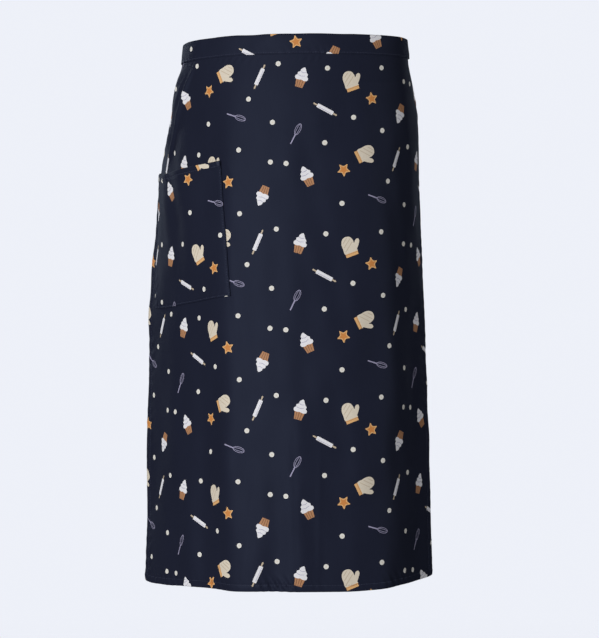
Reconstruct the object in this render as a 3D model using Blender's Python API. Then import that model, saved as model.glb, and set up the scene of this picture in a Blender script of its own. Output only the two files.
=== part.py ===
"""Waist apron of printed cotton, in the shape that it has when it is worn.

Metres, +Z up. The front faces -Y, the wearer's right is -X, and the origin is the
centre of the waist, level with the middle of the waistband at the front.
"""
import math

import bmesh
import bpy
import numpy as np
from mathutils import Vector
from mathutils.geometry import interpolate_bezier

# Cut of the cloth
CLOTH_WIDTH = 0.500
CLOTH_DROP = 0.700
CLOTH_WALL = 0.0012
HEM_WALL = 0.0022
SIDE_HEM = 0.013
BOTTOM_HEM = 0.012
BAND_HEIGHT = 0.026
BAND_WALL = 0.0010
SEAM_GAP = 0.0003

# Oval of the waist, on the cloth's outer face
WAIST_BREADTH = 0.292
WAIST_DEPTH = 0.196

# Patch pocket, placed on the flat cloth from its right side edge and its top edge
POCKET_WIDTH = 0.170
POCKET_HEIGHT = 0.172
POCKET_MARGIN = 0.0088
POCKET_DROP = 0.158
POCKET_TILT = math.radians(5.5)
POCKET_MOUTH_HEM = 0.009
POCKET_GAPE = 0.0085
POCKET_GAP = 0.0004

# Ties behind
TIE_HEIGHT = 0.024
TIE_WALL = 0.0016
TIE_NECK = 0.012
TIE_BEND = 0.36
TIE_UPRIGHT_BY = 0.4
TIE_NARROWS_FROM = 0.62
KNOT_WIDTH = 0.030
KNOT_HEIGHT = 0.027
KNOT_DEPTH = 0.016
KNOT_ROUNDING = 0.36
TAIL_LENGTH = 0.300
TAIL_SPREAD = math.radians(4.0)
TAIL_GATHER = 0.8
TAIL_OPEN_BY = 0.3
TAIL_TWISTS_FROM = 0.1
TAIL_BOW = 0.008
TAIL_TWIST = math.radians(24.0)

# Height of the tallest fold, and the shares of a fold's length over which its end rises
FOLD_HEIGHT = 0.0050
FOLD_RISE = (-0.12, 0.25)

# The share of the half width, each side of the centre, where the right's fall becomes
# the left's, and the least drop of a step of cloth, as a share of its length
SIDE_BLEND = 0.25
LEAST_FALL = 0.3

# Finish
PRINT_GROUND = (0.012, 0.015, 0.033)
BAND_COLOUR = (0.011, 0.014, 0.030)
CLOTH_ROUGHNESS = 0.85
SHARP_ANGLE = math.radians(40.0)

# Spacing of the faces
COLUMN_STEP = 0.0118
ROW_STEP = 0.0250
LATTICE_STEP = 0.0025
TIE_SECTIONS = 16
OVAL_STEPS = 1440
SAME_PLACE = 0.00001

# How the free cloth turns from the centre front (across 0) to its side edges, -1 being
# the wearer's right. Lifts are shares of the cloth's drop, at the band and at the hem.
HANG_COLUMNS = ("across", "turn_deg", "band_lift", "hem_lift")
HANG = (
    (-1.00, -50.0, -0.003, -0.024),
    (-0.80, -43.0, -0.003, -0.006),
    (-0.56, -38.0, -0.002, 0.001),
    (-0.36, -35.0, -0.001, 0.002),
    (-0.22, -19.0, 0.000, 0.001),
    (-0.08, -2.0, 0.000, 0.002),
    (0.08, 10.0, 0.000, 0.003),
    (0.36, 17.0, 0.000, 0.003),
    (0.52, 43.0, 0.000, 0.005),
    (0.72, 65.0, 0.001, 0.010),
    (1.00, 77.0, 0.003, 0.015),
)

# How far the cloth has left the oval of the waist for its free hang, at shares of its
# drop, on the wearer's right and left. The last column moves the front forward, as a
# share of the waist's depth.
FALL_COLUMNS = ("down", "right_free", "left_free", "front_out")
FALL = (
    (0.00, 0.00, 0.00, 0.000),
    (0.04, 0.14, 0.10, 0.012),
    (0.09, 0.40, 0.34, 0.030),
    (0.15, 0.59, 0.48, 0.045),
    (0.24, 0.75, 0.59, 0.060),
    (0.36, 0.88, 0.69, 0.068),
    (0.60, 0.96, 0.88, 0.066),
    (1.00, 1.00, 1.00, 0.060),
)

# Soft folds, each a ridge between two places on the cloth. Across and down are shares
# of the half width and the drop, the half width is a share of the cloth's width, and
# the height is a share of the tallest fold.
FOLD_COLUMNS = ("from_across", "from_down", "to_across", "to_down", "half_width", "height")
FOLDS = (
    (-0.60, 0.05, -0.86, 0.20, 0.030, 0.90),
    (-0.76, 0.06, -0.96, 0.16, 0.040, -0.60),
    (-0.25, 0.12, -0.24, 1.00, 0.040, 0.50),
    (-0.38, 0.50, -0.40, 1.00, 0.050, -0.35),
    (0.12, 0.66, 0.08, 1.00, 0.034, 0.45),
    (0.26, 0.60, 0.24, 1.00, 0.040, -0.40),
    (0.62, 0.30, 0.60, 1.00, 0.050, 0.40),
    (0.84, 0.45, 0.86, 1.00, 0.036, -0.50),
    (-0.80, 0.45, -0.76, 1.00, 0.045, 0.45),
)

HALF_WIDTH = CLOTH_WIDTH / 2
DRAWN_EDGE = BAND_WALL + SEAM_GAP


def column(table, names, name):
    """One named column of a table, as an array."""
    place = names.index(name)
    return np.array([row[place] for row in table], dtype=float)


def smooth_curve(places, values, at):
    """A cubic through the rows of a table, level wherever the values turn back."""
    steps = np.diff(places)
    slopes = np.diff(values) / steps
    tangents = np.zeros(len(places))
    tangents[0] = slopes[0]
    tangents[-1] = slopes[-1]
    for i in range(1, len(places) - 1):
        if slopes[i - 1] * slopes[i] > 0:
            tangents[i] = 2 * slopes[i - 1] * slopes[i] / (slopes[i - 1] + slopes[i])
    at = np.clip(at, places[0], places[-1])
    row = np.clip(np.searchsorted(places, at, side="right") - 1, 0, len(steps) - 1)
    width = steps[row]
    u = (at - places[row]) / width
    start = values[row] * (1 + 2 * u) * (1 - u) ** 2 + tangents[row] * width * u * (1 - u) ** 2
    finish = values[row + 1] * u * u * (3 - 2 * u) + tangents[row + 1] * width * u * u * (u - 1)
    return start + finish


def smooth_step(low, high, at):
    """0 below low, 1 above high, and an S between them."""
    u = np.clip((at - low) / (high - low), 0.0, 1.0)
    return u * u * (3 - 2 * u)


def running_length(x, y):
    """Length along a line of points, from its first point."""
    return np.concatenate([[0.0], np.cumsum(np.hypot(np.diff(x), np.diff(y)))])


def waist_oval():
    """Arc length from the centre front and turn, round the oval of the waist."""
    turns = np.linspace(-math.pi, math.pi, OVAL_STEPS + 1)
    x = WAIST_BREADTH / 2 * np.sin(turns)
    y = -WAIST_DEPTH / 2 * np.cos(turns)
    arc = running_length(x, y)
    arc -= arc[-1] / 2
    turn = np.arctan2(WAIST_DEPTH * np.sin(turns), WAIST_BREADTH * np.cos(turns))
    return arc, turn


def plan_row(turn, arc, front_y):
    """The plan of one row of cloth, from its turn at each place across."""
    east = np.cos(turn)
    north = np.sin(turn)
    step = np.diff(arc)
    x = np.concatenate([[0.0], np.cumsum((east[1:] + east[:-1]) / 2 * step)])
    y = np.concatenate([[0.0], np.cumsum((north[1:] + north[:-1]) / 2 * step)])
    centre = len(arc) // 2
    return x - x[centre], y - y[centre] + front_y


def surface_normals(points):
    """Outward unit normals of a lattice of points, rows down and columns across."""
    across = np.gradient(points, axis=1)
    down = np.gradient(points, axis=0)
    normals = np.cross(down, across)
    return normals / np.linalg.norm(normals, axis=2, keepdims=True)


def fold_heights(across, down):
    """Height of all the folds together over the cloth, in metres."""
    heights = np.zeros(np.broadcast(across, down).shape)
    for fold in FOLDS:
        named = dict(zip(FOLD_COLUMNS, fold))
        start = (named["from_across"] * HALF_WIDTH, named["from_down"] * CLOTH_DROP)
        finish = (named["to_across"] * HALF_WIDTH, named["to_down"] * CLOTH_DROP)
        run = (finish[0] - start[0], finish[1] - start[1])
        length = math.hypot(*run)
        unit = (run[0] / length, run[1] / length)
        away = (across - start[0], down - start[1])
        along = (away[0] * unit[0] + away[1] * unit[1]) / length
        beside = away[0] * unit[1] - away[1] * unit[0]
        width = named["half_width"] * CLOTH_WIDTH
        swell = smooth_step(*FOLD_RISE, along)
        if named["to_down"] < 1.0:
            swell = swell * smooth_step(*FOLD_RISE, 1 - along)
        heights += named["height"] * FOLD_HEIGHT * swell * np.exp(-((beside / width) ** 2))
    return heights


def cloth_lattice():
    """Fine lattice of the worn cloth's outer face: across, down, points and normals."""
    columns = 2 * round(HALF_WIDTH / LATTICE_STEP) + 1
    rows = round(CLOTH_DROP / LATTICE_STEP) + 1
    across = np.linspace(-HALF_WIDTH, HALF_WIDTH, columns)
    down = np.linspace(0.0, CLOTH_DROP, rows)
    share = across / HALF_WIDTH
    arc, oval_turn = waist_oval()
    waist_turn = np.interp(across, arc, oval_turn)
    hang_places = column(HANG, HANG_COLUMNS, "across")
    free_turn = np.radians(smooth_curve(hang_places, column(HANG, HANG_COLUMNS, "turn_deg"), share))
    fall_places = column(FALL, FALL_COLUMNS, "down")
    drop_share = down / CLOTH_DROP
    right_free = smooth_curve(fall_places, column(FALL, FALL_COLUMNS, "right_free"), drop_share)
    left_free = smooth_curve(fall_places, column(FALL, FALL_COLUMNS, "left_free"), drop_share)
    front_out = smooth_curve(fall_places, column(FALL, FALL_COLUMNS, "front_out"), drop_share)
    on_left = smooth_step(-SIDE_BLEND, SIDE_BLEND, share)
    points = np.zeros((rows, columns, 3))
    for row in range(rows):
        free = right_free[row] * (1 - on_left) + left_free[row] * on_left
        turn = (1 - free) * waist_turn + free * free_turn
        front_y = -WAIST_DEPTH * (0.5 + front_out[row])
        points[row, :, 0], points[row, :, 1] = plan_row(turn, across, front_y)
    step = down[1] - down[0]
    sideways = np.linalg.norm(np.diff(points[:, :, :2], axis=0), axis=2)
    fall = np.sqrt(np.maximum(step * step - sideways * sideways, (LEAST_FALL * step) ** 2))
    points[1:, :, 2] = -np.cumsum(fall, axis=0)
    band_lift = smooth_curve(hang_places, column(HANG, HANG_COLUMNS, "band_lift"), share)
    hem_lift = smooth_curve(hang_places, column(HANG, HANG_COLUMNS, "hem_lift"), share)
    lift = band_lift[None, :] + (hem_lift - band_lift)[None, :] * drop_share[:, None]
    points[:, :, 2] += CLOTH_DROP * lift + BAND_HEIGHT / 2
    normals = surface_normals(points)
    points += normals * fold_heights(across[None, :], down[:, None])[:, :, None]
    return across, down, points, surface_normals(points)


ACROSS, DOWN, FACE, NORMAL = cloth_lattice()


def on_cloth(across, down, out=0.0):
    """A place on the worn cloth, out metres in front of its outer face."""
    column_at = (across - ACROSS[0]) / (ACROSS[1] - ACROSS[0])
    row_at = (down - DOWN[0]) / (DOWN[1] - DOWN[0])
    i = int(np.clip(math.floor(column_at), 0, len(ACROSS) - 2))
    j = int(np.clip(math.floor(row_at), 0, len(DOWN) - 2))
    u = column_at - i
    v = row_at - j
    weights = ((j, i, (1 - u) * (1 - v)), (j, i + 1, u * (1 - v)),
               (j + 1, i, (1 - u) * v), (j + 1, i + 1, u * v))
    point = sum(FACE[r, c] * w for r, c, w in weights)
    normal = sum(NORMAL[r, c] * w for r, c, w in weights)
    normal = normal / np.linalg.norm(normal)
    return Vector(point + normal * out)


def stations(lines, step):
    """Places at each line and at even steps of about the given size between them."""
    places = [lines[0]]
    for low, high in zip(lines, lines[1:]):
        count = max(1, round((high - low) / step))
        places += [low + (high - low) * k / count for k in range(1, count + 1)]
    return places


def clear_scene():
    """Remove every object and mesh of the open file."""
    for existing in list(bpy.data.objects):
        bpy.data.objects.remove(existing, do_unlink=True)
    for mesh in list(bpy.data.meshes):
        bpy.data.meshes.remove(mesh)


def cloth_material(name, colour):
    """A dull woven finish."""
    material = bpy.data.materials.new(name)
    material.use_nodes = True
    shader = material.node_tree.nodes["Principled BSDF"]
    shader.inputs["Base Color"].default_value = (*colour, 1.0)
    shader.inputs["Roughness"].default_value = CLOTH_ROUGHNESS
    shader.inputs["Metallic"].default_value = 0.0
    return material


def finish_object(name, builder, colour):
    """Turn a bmesh into a smooth shaded object with its own material."""
    bmesh.ops.recalc_face_normals(builder, faces=builder.faces)
    mesh = bpy.data.meshes.new(name)
    builder.to_mesh(mesh)
    builder.free()
    mesh.shade_smooth()
    mesh.set_sharp_from_angle(angle=SHARP_ANGLE)
    mesh.materials.append(cloth_material(name + " cotton", colour))
    made = bpy.data.objects.new(name, mesh)
    bpy.context.scene.collection.objects.link(made)
    return made


def shell(outer, inner):
    """Closed shell between two lattices of points with the same rows and columns."""
    builder = bmesh.new()
    rows = len(outer)
    columns = len(outer[0])
    front = [[builder.verts.new(point) for point in row] for row in outer]
    back = [[builder.verts.new(point) for point in row] for row in inner]
    for j in range(rows - 1):
        for i in range(columns - 1):
            builder.faces.new((front[j][i], front[j + 1][i], front[j + 1][i + 1], front[j][i + 1]))
            builder.faces.new((back[j][i], back[j][i + 1], back[j + 1][i + 1], back[j + 1][i]))
    edge = [(0, i) for i in range(columns)]
    edge += [(j, columns - 1) for j in range(1, rows)]
    edge += [(rows - 1, i) for i in range(columns - 2, -1, -1)]
    edge += [(j, 0) for j in range(rows - 2, 0, -1)]
    for a, b in zip(edge, edge[1:] + edge[:1]):
        builder.faces.new((front[a[0]][a[1]], front[b[0]][b[1]], back[b[0]][b[1]], back[a[0]][a[1]]))
    return builder


def swept(sections):
    """Closed solid through rings of points, each ring with as many points."""
    builder = bmesh.new()
    rings = [[builder.verts.new(point) for point in ring] for ring in sections]
    for low, high in zip(rings, rings[1:]):
        for k in range(len(low)):
            after = (k + 1) % len(low)
            builder.faces.new((low[k], low[after], high[after], high[k]))
    builder.faces.new(rings[0])
    builder.faces.new(rings[-1])
    return builder


def cloth_columns():
    """Places across the cloth that the panel and its band share."""
    return stations((-HALF_WIDTH, SIDE_HEM - HALF_WIDTH, HALF_WIDTH - SIDE_HEM, HALF_WIDTH), COLUMN_STEP)


def make_skirt():
    """The long panel, thicker along its turned hems and held in the band at the top."""
    columns = cloth_columns()
    rows = [DRAWN_EDGE]
    rows += stations((BAND_HEIGHT / 2, BAND_HEIGHT, CLOTH_DROP - BOTTOM_HEM, CLOTH_DROP), ROW_STEP)
    outer = []
    inner = []
    for down in rows:
        outer.append([on_cloth(across, down) for across in columns])
        walls = []
        for across in columns:
            in_side_hem = abs(across) > HALF_WIDTH - SIDE_HEM + SAME_PLACE
            in_bottom_hem = down > CLOTH_DROP - BOTTOM_HEM + SAME_PLACE
            hemmed = (in_side_hem or in_bottom_hem) and down > BAND_HEIGHT + SAME_PLACE
            walls.append(HEM_WALL if hemmed else CLOTH_WALL)
        inner.append([on_cloth(across, down, -wall) for across, wall in zip(columns, walls)])
    return finish_object("skirt", shell(outer, inner), PRINT_GROUND)


def make_waistband():
    """A strip folded over the panel's top edge, one layer in front and one behind."""
    front_out = SEAM_GAP + BAND_WALL
    back_in = -CLOTH_WALL - SEAM_GAP - BAND_WALL
    middle = BAND_HEIGHT / 2
    profile = (
        (0.0, SEAM_GAP), (middle, front_out), (BAND_HEIGHT, front_out), (BAND_HEIGHT, SEAM_GAP),
        (middle, SEAM_GAP), (BAND_WALL, SEAM_GAP), (BAND_WALL, back_in + BAND_WALL),
        (middle, back_in + BAND_WALL), (BAND_HEIGHT, back_in + BAND_WALL), (BAND_HEIGHT, back_in),
        (middle, back_in), (0.0, back_in + BAND_WALL),
    )
    sections = [[on_cloth(across, down, out) for down, out in profile] for across in cloth_columns()]
    return finish_object("waistband", swept(sections), BAND_COLOUR)


def pocket_place(beside, below):
    """Flat place of a point of the pocket, from its upper inner corner."""
    level = math.cos(POCKET_TILT)
    slant = math.sin(POCKET_TILT)
    inner_edge = HALF_WIDTH - POCKET_MARGIN - POCKET_WIDTH * level
    across = -inner_edge - beside * level + below * slant
    down = POCKET_DROP + beside * slant + below * level
    return across, down


def make_pocket():
    """A patch sewn down at its sides and bottom, standing open a little at its mouth."""
    beside_places = stations((0.0, POCKET_WIDTH), COLUMN_STEP)
    below_places = stations((0.0, POCKET_MOUTH_HEM, POCKET_HEIGHT), COLUMN_STEP)
    outer = []
    inner = []
    for below in below_places:
        outer_row = []
        inner_row = []
        for beside in beside_places:
            across, down = pocket_place(beside, below)
            crown = 1 - (2 * beside / POCKET_WIDTH - 1) ** 4
            closing = 1 - (below / POCKET_HEIGHT) ** 2
            stand = POCKET_GAP + POCKET_GAPE * crown * closing
            wall = HEM_WALL if below < POCKET_MOUTH_HEM - SAME_PLACE else CLOTH_WALL
            outer_row.append(on_cloth(across, down, stand + wall))
            inner_row.append(on_cloth(across, down, stand))
        outer.append(outer_row)
        inner.append(inner_row)
    return finish_object("pocket", shell(outer, inner), PRINT_GROUND)


def strip_ring(centre, out, up, height, wall):
    """Four corners of a strip's section."""
    return [
        centre + out * wall / 2 + up * height / 2,
        centre - out * wall / 2 + up * height / 2,
        centre - out * wall / 2 - up * height / 2,
        centre + out * wall / 2 - up * height / 2,
    ]


def back_of_waist():
    """The middle of the waist behind, where the knot sits."""
    return Vector((0.0, WAIST_DEPTH / 2 - BAND_WALL - CLOTH_WALL, 0.0))


def band_end(side):
    """Middle of the band's end, with the unit directions up along it and away from it."""
    edge = side * HALF_WIDTH
    top = on_cloth(edge, 0.0, -CLOTH_WALL / 2)
    bottom = on_cloth(edge, BAND_HEIGHT, -CLOTH_WALL / 2)
    before = on_cloth(edge - side * LATTICE_STEP, BAND_HEIGHT / 2, -CLOTH_WALL / 2)
    middle = (top + bottom) / 2
    up = (top - bottom).normalized()
    away = middle - before
    away = (away - up * away.dot(up)).normalized()
    return middle, up, away


def make_tie(name, side, knot_centre):
    """A flat strip from one end of the band to the knot behind, narrowed at the knot."""
    middle, first_up, leaving = band_end(side)
    start = middle + leaving * SEAM_GAP
    finish = knot_centre + Vector((side * (KNOT_WIDTH / 2 + SEAM_GAP), 0.0, 0.0))
    arriving = Vector((-side, 0.0, 0.0))
    reach = (finish - start).length * TIE_BEND
    bends = (start + leaving * reach, finish - arriving * reach)
    path = interpolate_bezier(start, *bends, finish, TIE_SECTIONS)
    sections = []
    for k, centre in enumerate(path):
        share = k / (len(path) - 1)
        run = path[min(k + 1, len(path) - 1)] - path[max(k - 1, 0)]
        if k == 0:
            run = leaving
        if k == len(path) - 1:
            run = arriving
        settled = float(smooth_step(0.0, TIE_UPRIGHT_BY, share))
        up = first_up * (1 - settled) + Vector((0.0, 0.0, 1.0)) * settled
        up = (up - run * up.dot(run) / run.length_squared).normalized()
        out = run.cross(up).normalized() * side
        height = TIE_HEIGHT + (TIE_NECK - TIE_HEIGHT) * float(smooth_step(TIE_NARROWS_FROM, 1.0, share))
        sections.append(strip_ring(centre, out, up, height, TIE_WALL))
    return finish_object(name, swept(sections), BAND_COLOUR)


def make_knot(knot_centre):
    """The plain knot, a small rounded block."""
    builder = bmesh.new()
    bmesh.ops.create_cube(builder, size=1.0)
    for vertex in builder.verts:
        vertex.co = Vector((vertex.co.x * KNOT_WIDTH, vertex.co.y * KNOT_DEPTH, vertex.co.z * KNOT_HEIGHT))
        vertex.co += knot_centre
    knot = finish_object("tie_knot", builder, BAND_COLOUR)
    rounding = knot.modifiers.new("rounded", "BEVEL")
    rounding.width = KNOT_DEPTH * KNOT_ROUNDING
    rounding.segments = 3
    return knot


def make_tail(name, side, knot_centre):
    """A free end of a tie, hanging from under the knot and bending a little."""
    neck = TIE_NECK * TAIL_GATHER
    top = knot_centre + Vector((side * TIE_NECK / 2, 0.0, -KNOT_HEIGHT / 2 - SEAM_GAP))
    sections = []
    for k in range(TIE_SECTIONS):
        share = k / (TIE_SECTIONS - 1)
        width = neck + (TIE_HEIGHT - neck) * float(smooth_step(0.0, TAIL_OPEN_BY, share))
        fallen = Vector((side * math.sin(TAIL_SPREAD), 0.0, -math.cos(TAIL_SPREAD))) * (share * TAIL_LENGTH)
        centre = top + fallen
        centre.x += side * (width - neck) / 2
        centre.y += TAIL_BOW * math.sin(math.pi * share)
        twist = side * TAIL_TWIST * float(smooth_step(TAIL_TWISTS_FROM, 1.0, share))
        wide = Vector((math.cos(twist), math.sin(twist), 0.0))
        out = Vector((-math.sin(twist), math.cos(twist), 0.0))
        sections.append(strip_ring(centre, out, wide, width, TIE_WALL))
    return finish_object(name, swept(sections), BAND_COLOUR)


def main():
    clear_scene()
    make_skirt()
    make_waistband()
    make_pocket()
    knot_centre = back_of_waist()
    make_knot(knot_centre)
    for name, side in (("right", -1), ("left", 1)):
        make_tie("tie_" + name, side, knot_centre)
        make_tail("tail_" + name, side, knot_centre)


main()
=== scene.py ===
# %% [markdown]
# # A waist apron in printed cotton, in the shape that it has when it is worn
#
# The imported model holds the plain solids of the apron: a long panel of cloth, the folded
# waistband that holds its top edge, one patch pocket and two ties that are knotted behind.
# They give every size and every place. This lesson makes the cloth that they stand for,
# with its folds, its turned hems, its print and its stitches.

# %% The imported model
import math

import bpy
import numpy as np
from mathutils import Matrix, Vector
from mathutils.geometry import delaunay_2d_cdt, interpolate_bezier


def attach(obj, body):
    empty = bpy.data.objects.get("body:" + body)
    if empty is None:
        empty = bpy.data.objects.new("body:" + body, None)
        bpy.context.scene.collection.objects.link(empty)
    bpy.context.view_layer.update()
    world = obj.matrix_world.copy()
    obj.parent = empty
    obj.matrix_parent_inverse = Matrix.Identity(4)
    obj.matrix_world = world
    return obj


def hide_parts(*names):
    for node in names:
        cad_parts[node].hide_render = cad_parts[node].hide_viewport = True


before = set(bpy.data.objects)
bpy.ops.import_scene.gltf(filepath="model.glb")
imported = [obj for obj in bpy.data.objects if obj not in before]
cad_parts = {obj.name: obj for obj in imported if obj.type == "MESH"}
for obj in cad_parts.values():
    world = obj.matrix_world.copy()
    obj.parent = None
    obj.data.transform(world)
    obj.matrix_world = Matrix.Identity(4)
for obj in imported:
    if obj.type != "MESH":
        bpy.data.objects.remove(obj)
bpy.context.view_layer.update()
print("solids:", sorted(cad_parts))

# %% [markdown]
# ## The camera
#
# The camera comes first, because everything after it is judged through it. The apron is
# seen from a little to the wearer's left, level with the middle of the cloth and from well
# back, as a portrait lens sees it. A far camera with a long lens keeps upright edges
# nearly parallel, which is how the two side edges look.

# %% The camera
CAMERA_TURN = math.radians(14.0)
CAMERA_DISTANCE = 3.40
CAMERA_SIDEWAYS = 0.006
CAMERA_HEIGHT = -0.344
FOCAL_PIXELS = 2640.0
PHOTO_LONG_SIDE = 638
SENSOR = 36.0

camera_data = bpy.data.cameras.new("camera")
camera_data.sensor_width = SENSOR
camera_data.lens = FOCAL_PIXELS / PHOTO_LONG_SIDE * SENSOR
camera = bpy.data.objects.new("camera", camera_data)
bpy.context.scene.collection.objects.link(camera)
to_the_right = Vector((math.cos(CAMERA_TURN), math.sin(CAMERA_TURN), 0.0))
ahead = Vector((-math.sin(CAMERA_TURN), math.cos(CAMERA_TURN), 0.0))
camera.location = to_the_right * CAMERA_SIDEWAYS - ahead * CAMERA_DISTANCE
camera.location.z = CAMERA_HEIGHT
camera.rotation_euler = (math.radians(90.0), 0.0, CAMERA_TURN)
bpy.context.scene.camera = camera
print("lens in mm:", round(camera_data.lens, 1))

# %% [markdown]
# ## The worn form of the cloth
#
# A worn apron is a flat cut that bends but hardly stretches. So each place on the cloth is
# named by where it lies on the flat cut: across, from the centre front, and down, from the
# top edge. The top row lies round the oval of the waist. Lower rows turn more and more
# freely, as a table of turns and a table of the fall say. Each row is laid out by adding
# up short steps in the direction of its turn, so the cloth keeps its width, and the rows
# sink by what is left of their step, so it keeps its length. A simulation would find a
# similar form, but the folds that are wanted would come only by chance.

# %% The cut
CLOTH_WIDTH = 0.500
CLOTH_DROP = 0.700
CLOTH_WALL = 0.0012
HEM_WALL = 0.0022
SIDE_HEM = 0.013
BOTTOM_HEM = 0.012
BAND_HEIGHT = 0.026
BAND_WALL = 0.0010
SEAM_GAP = 0.0003
WAIST_BREADTH = 0.292
WAIST_DEPTH = 0.196
HALF_WIDTH = CLOTH_WIDTH / 2

HANG_COLUMNS = ("across", "turn_deg", "band_lift", "hem_lift")
HANG = (
    (-1.00, -50.0, -0.003, -0.024),
    (-0.80, -43.0, -0.003, -0.006),
    (-0.56, -38.0, -0.002, 0.001),
    (-0.36, -35.0, -0.001, 0.002),
    (-0.22, -19.0, 0.000, 0.001),
    (-0.08, -2.0, 0.000, 0.002),
    (0.08, 10.0, 0.000, 0.003),
    (0.36, 17.0, 0.000, 0.003),
    (0.52, 43.0, 0.000, 0.005),
    (0.72, 65.0, 0.001, 0.010),
    (1.00, 77.0, 0.003, 0.015),
)
FALL_COLUMNS = ("down", "right_free", "left_free", "front_out")
FALL = (
    (0.00, 0.00, 0.00, 0.000),
    (0.04, 0.14, 0.10, 0.012),
    (0.09, 0.40, 0.34, 0.030),
    (0.15, 0.59, 0.48, 0.045),
    (0.24, 0.75, 0.59, 0.060),
    (0.36, 0.88, 0.69, 0.068),
    (0.60, 0.96, 0.88, 0.066),
    (1.00, 1.00, 1.00, 0.060),
)
FOLD_COLUMNS = ("from_across", "from_down", "to_across", "to_down", "half_width", "height")
FOLDS = (
    (-0.60, 0.05, -0.86, 0.20, 0.030, 0.90),
    (-0.76, 0.06, -0.96, 0.16, 0.040, -0.60),
    (-0.25, 0.12, -0.24, 1.00, 0.040, 0.50),
    (-0.38, 0.50, -0.40, 1.00, 0.050, -0.35),
    (0.12, 0.66, 0.08, 1.00, 0.034, 0.45),
    (0.26, 0.60, 0.24, 1.00, 0.040, -0.40),
    (0.62, 0.30, 0.60, 1.00, 0.050, 0.40),
    (0.84, 0.45, 0.86, 1.00, 0.036, -0.50),
    (-0.80, 0.45, -0.76, 1.00, 0.045, 0.45),
)
FOLD_HEIGHT = 0.0050
FOLD_RISE = (-0.12, 0.25)
SIDE_BLEND = 0.25
LEAST_FALL = 0.3
OVAL_STEPS = 1440
LATTICE_STEP = 0.001
print("flat cut in mm:", round(CLOTH_WIDTH * 1000), "x", round(CLOTH_DROP * 1000))

# %% [markdown]
# Each table has a name for every column, so its values are read by name. Between the rows
# of a table runs a smooth curve that never overshoots them, because an overshoot would
# show as a bulge in the cloth.

# %% Curves through the tables
def column(table, names, name):
    """One named column of a table, as an array."""
    place = names.index(name)
    return np.array([row[place] for row in table], dtype=float)


def named_rows(table, names):
    """The rows of a table, with a name for each value."""
    return [dict(zip(names, row)) for row in table]


def smooth_curve(places, values, at):
    """A cubic through the rows of a table, level wherever the values turn back."""
    steps = np.diff(places)
    slopes = np.diff(values) / steps
    tangents = np.zeros(len(places))
    tangents[0] = slopes[0]
    tangents[-1] = slopes[-1]
    for i in range(1, len(places) - 1):
        if slopes[i - 1] * slopes[i] > 0:
            tangents[i] = 2 * slopes[i - 1] * slopes[i] / (slopes[i - 1] + slopes[i])
    at = np.clip(at, places[0], places[-1])
    row = np.clip(np.searchsorted(places, at, side="right") - 1, 0, len(steps) - 1)
    width = steps[row]
    u = (at - places[row]) / width
    start = values[row] * (1 + 2 * u) * (1 - u) ** 2 + tangents[row] * width * u * (1 - u) ** 2
    finish = values[row + 1] * u * u * (3 - 2 * u) + tangents[row + 1] * width * u * u * (u - 1)
    return start + finish


def smooth_step(low, high, at):
    """0 below low, 1 above high, and an S between them."""
    u = np.clip((at - low) / (high - low), 0.0, 1.0)
    return u * u * (3 - 2 * u)


print("rows of turns and of fall:", len(HANG), len(FALL))

# %% [markdown]
# One row of the cloth is laid out in plan from its turns. A fold is a straight ridge, or
# a hollow where its height is below 0, that swells up from one flat place to another.
# Folds that end at the hem stay open there.

# %% Rows and folds
def waist_oval():
    """Arc length from the centre front and turn, round the oval of the waist."""
    turns = np.linspace(-math.pi, math.pi, OVAL_STEPS + 1)
    x = WAIST_BREADTH / 2 * np.sin(turns)
    y = -WAIST_DEPTH / 2 * np.cos(turns)
    arc = np.concatenate([[0.0], np.cumsum(np.hypot(np.diff(x), np.diff(y)))])
    turn = np.arctan2(WAIST_DEPTH * np.sin(turns), WAIST_BREADTH * np.cos(turns))
    return arc - arc[-1] / 2, turn


def plan_row(turn, arc, front_y):
    """The plan of one row of cloth, from its turn at each place across."""
    east = np.cos(turn)
    north = np.sin(turn)
    step = np.diff(arc)
    x = np.concatenate([[0.0], np.cumsum((east[1:] + east[:-1]) / 2 * step)])
    y = np.concatenate([[0.0], np.cumsum((north[1:] + north[:-1]) / 2 * step)])
    centre = len(arc) // 2
    return x - x[centre], y - y[centre] + front_y


def surface_normals(points):
    """Outward unit normals of a lattice of points, rows down and columns across."""
    normals = np.cross(np.gradient(points, axis=0), np.gradient(points, axis=1))
    return normals / np.linalg.norm(normals, axis=2, keepdims=True)


def fold_heights(folds, across, down):
    """Height of a table of folds together over the cloth."""
    heights = np.zeros(np.broadcast(across, down).shape)
    for fold in named_rows(folds, FOLD_COLUMNS):
        start = (fold["from_across"] * HALF_WIDTH, fold["from_down"] * CLOTH_DROP)
        finish = (fold["to_across"] * HALF_WIDTH, fold["to_down"] * CLOTH_DROP)
        run = (finish[0] - start[0], finish[1] - start[1])
        length = math.hypot(*run)
        heading = (run[0] / length, run[1] / length)
        away = (across - start[0], down - start[1])
        along = (away[0] * heading[0] + away[1] * heading[1]) / length
        beside = away[0] * heading[1] - away[1] * heading[0]
        swell = smooth_step(*FOLD_RISE, along)
        if fold["to_down"] < 1.0:
            swell = swell * smooth_step(*FOLD_RISE, 1 - along)
        width = fold["half_width"] * CLOTH_WIDTH
        heights += fold["height"] * FOLD_HEIGHT * swell * np.exp(-((beside / width) ** 2))
    return heights


print("round the oval of the waist in mm:", round(2000 * waist_oval()[0][-1]))

# %% [markdown]
# The rows are put together on a lattice with one point for each millimetre of the flat
# cut. Every later step looks up its places on this lattice.

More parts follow.
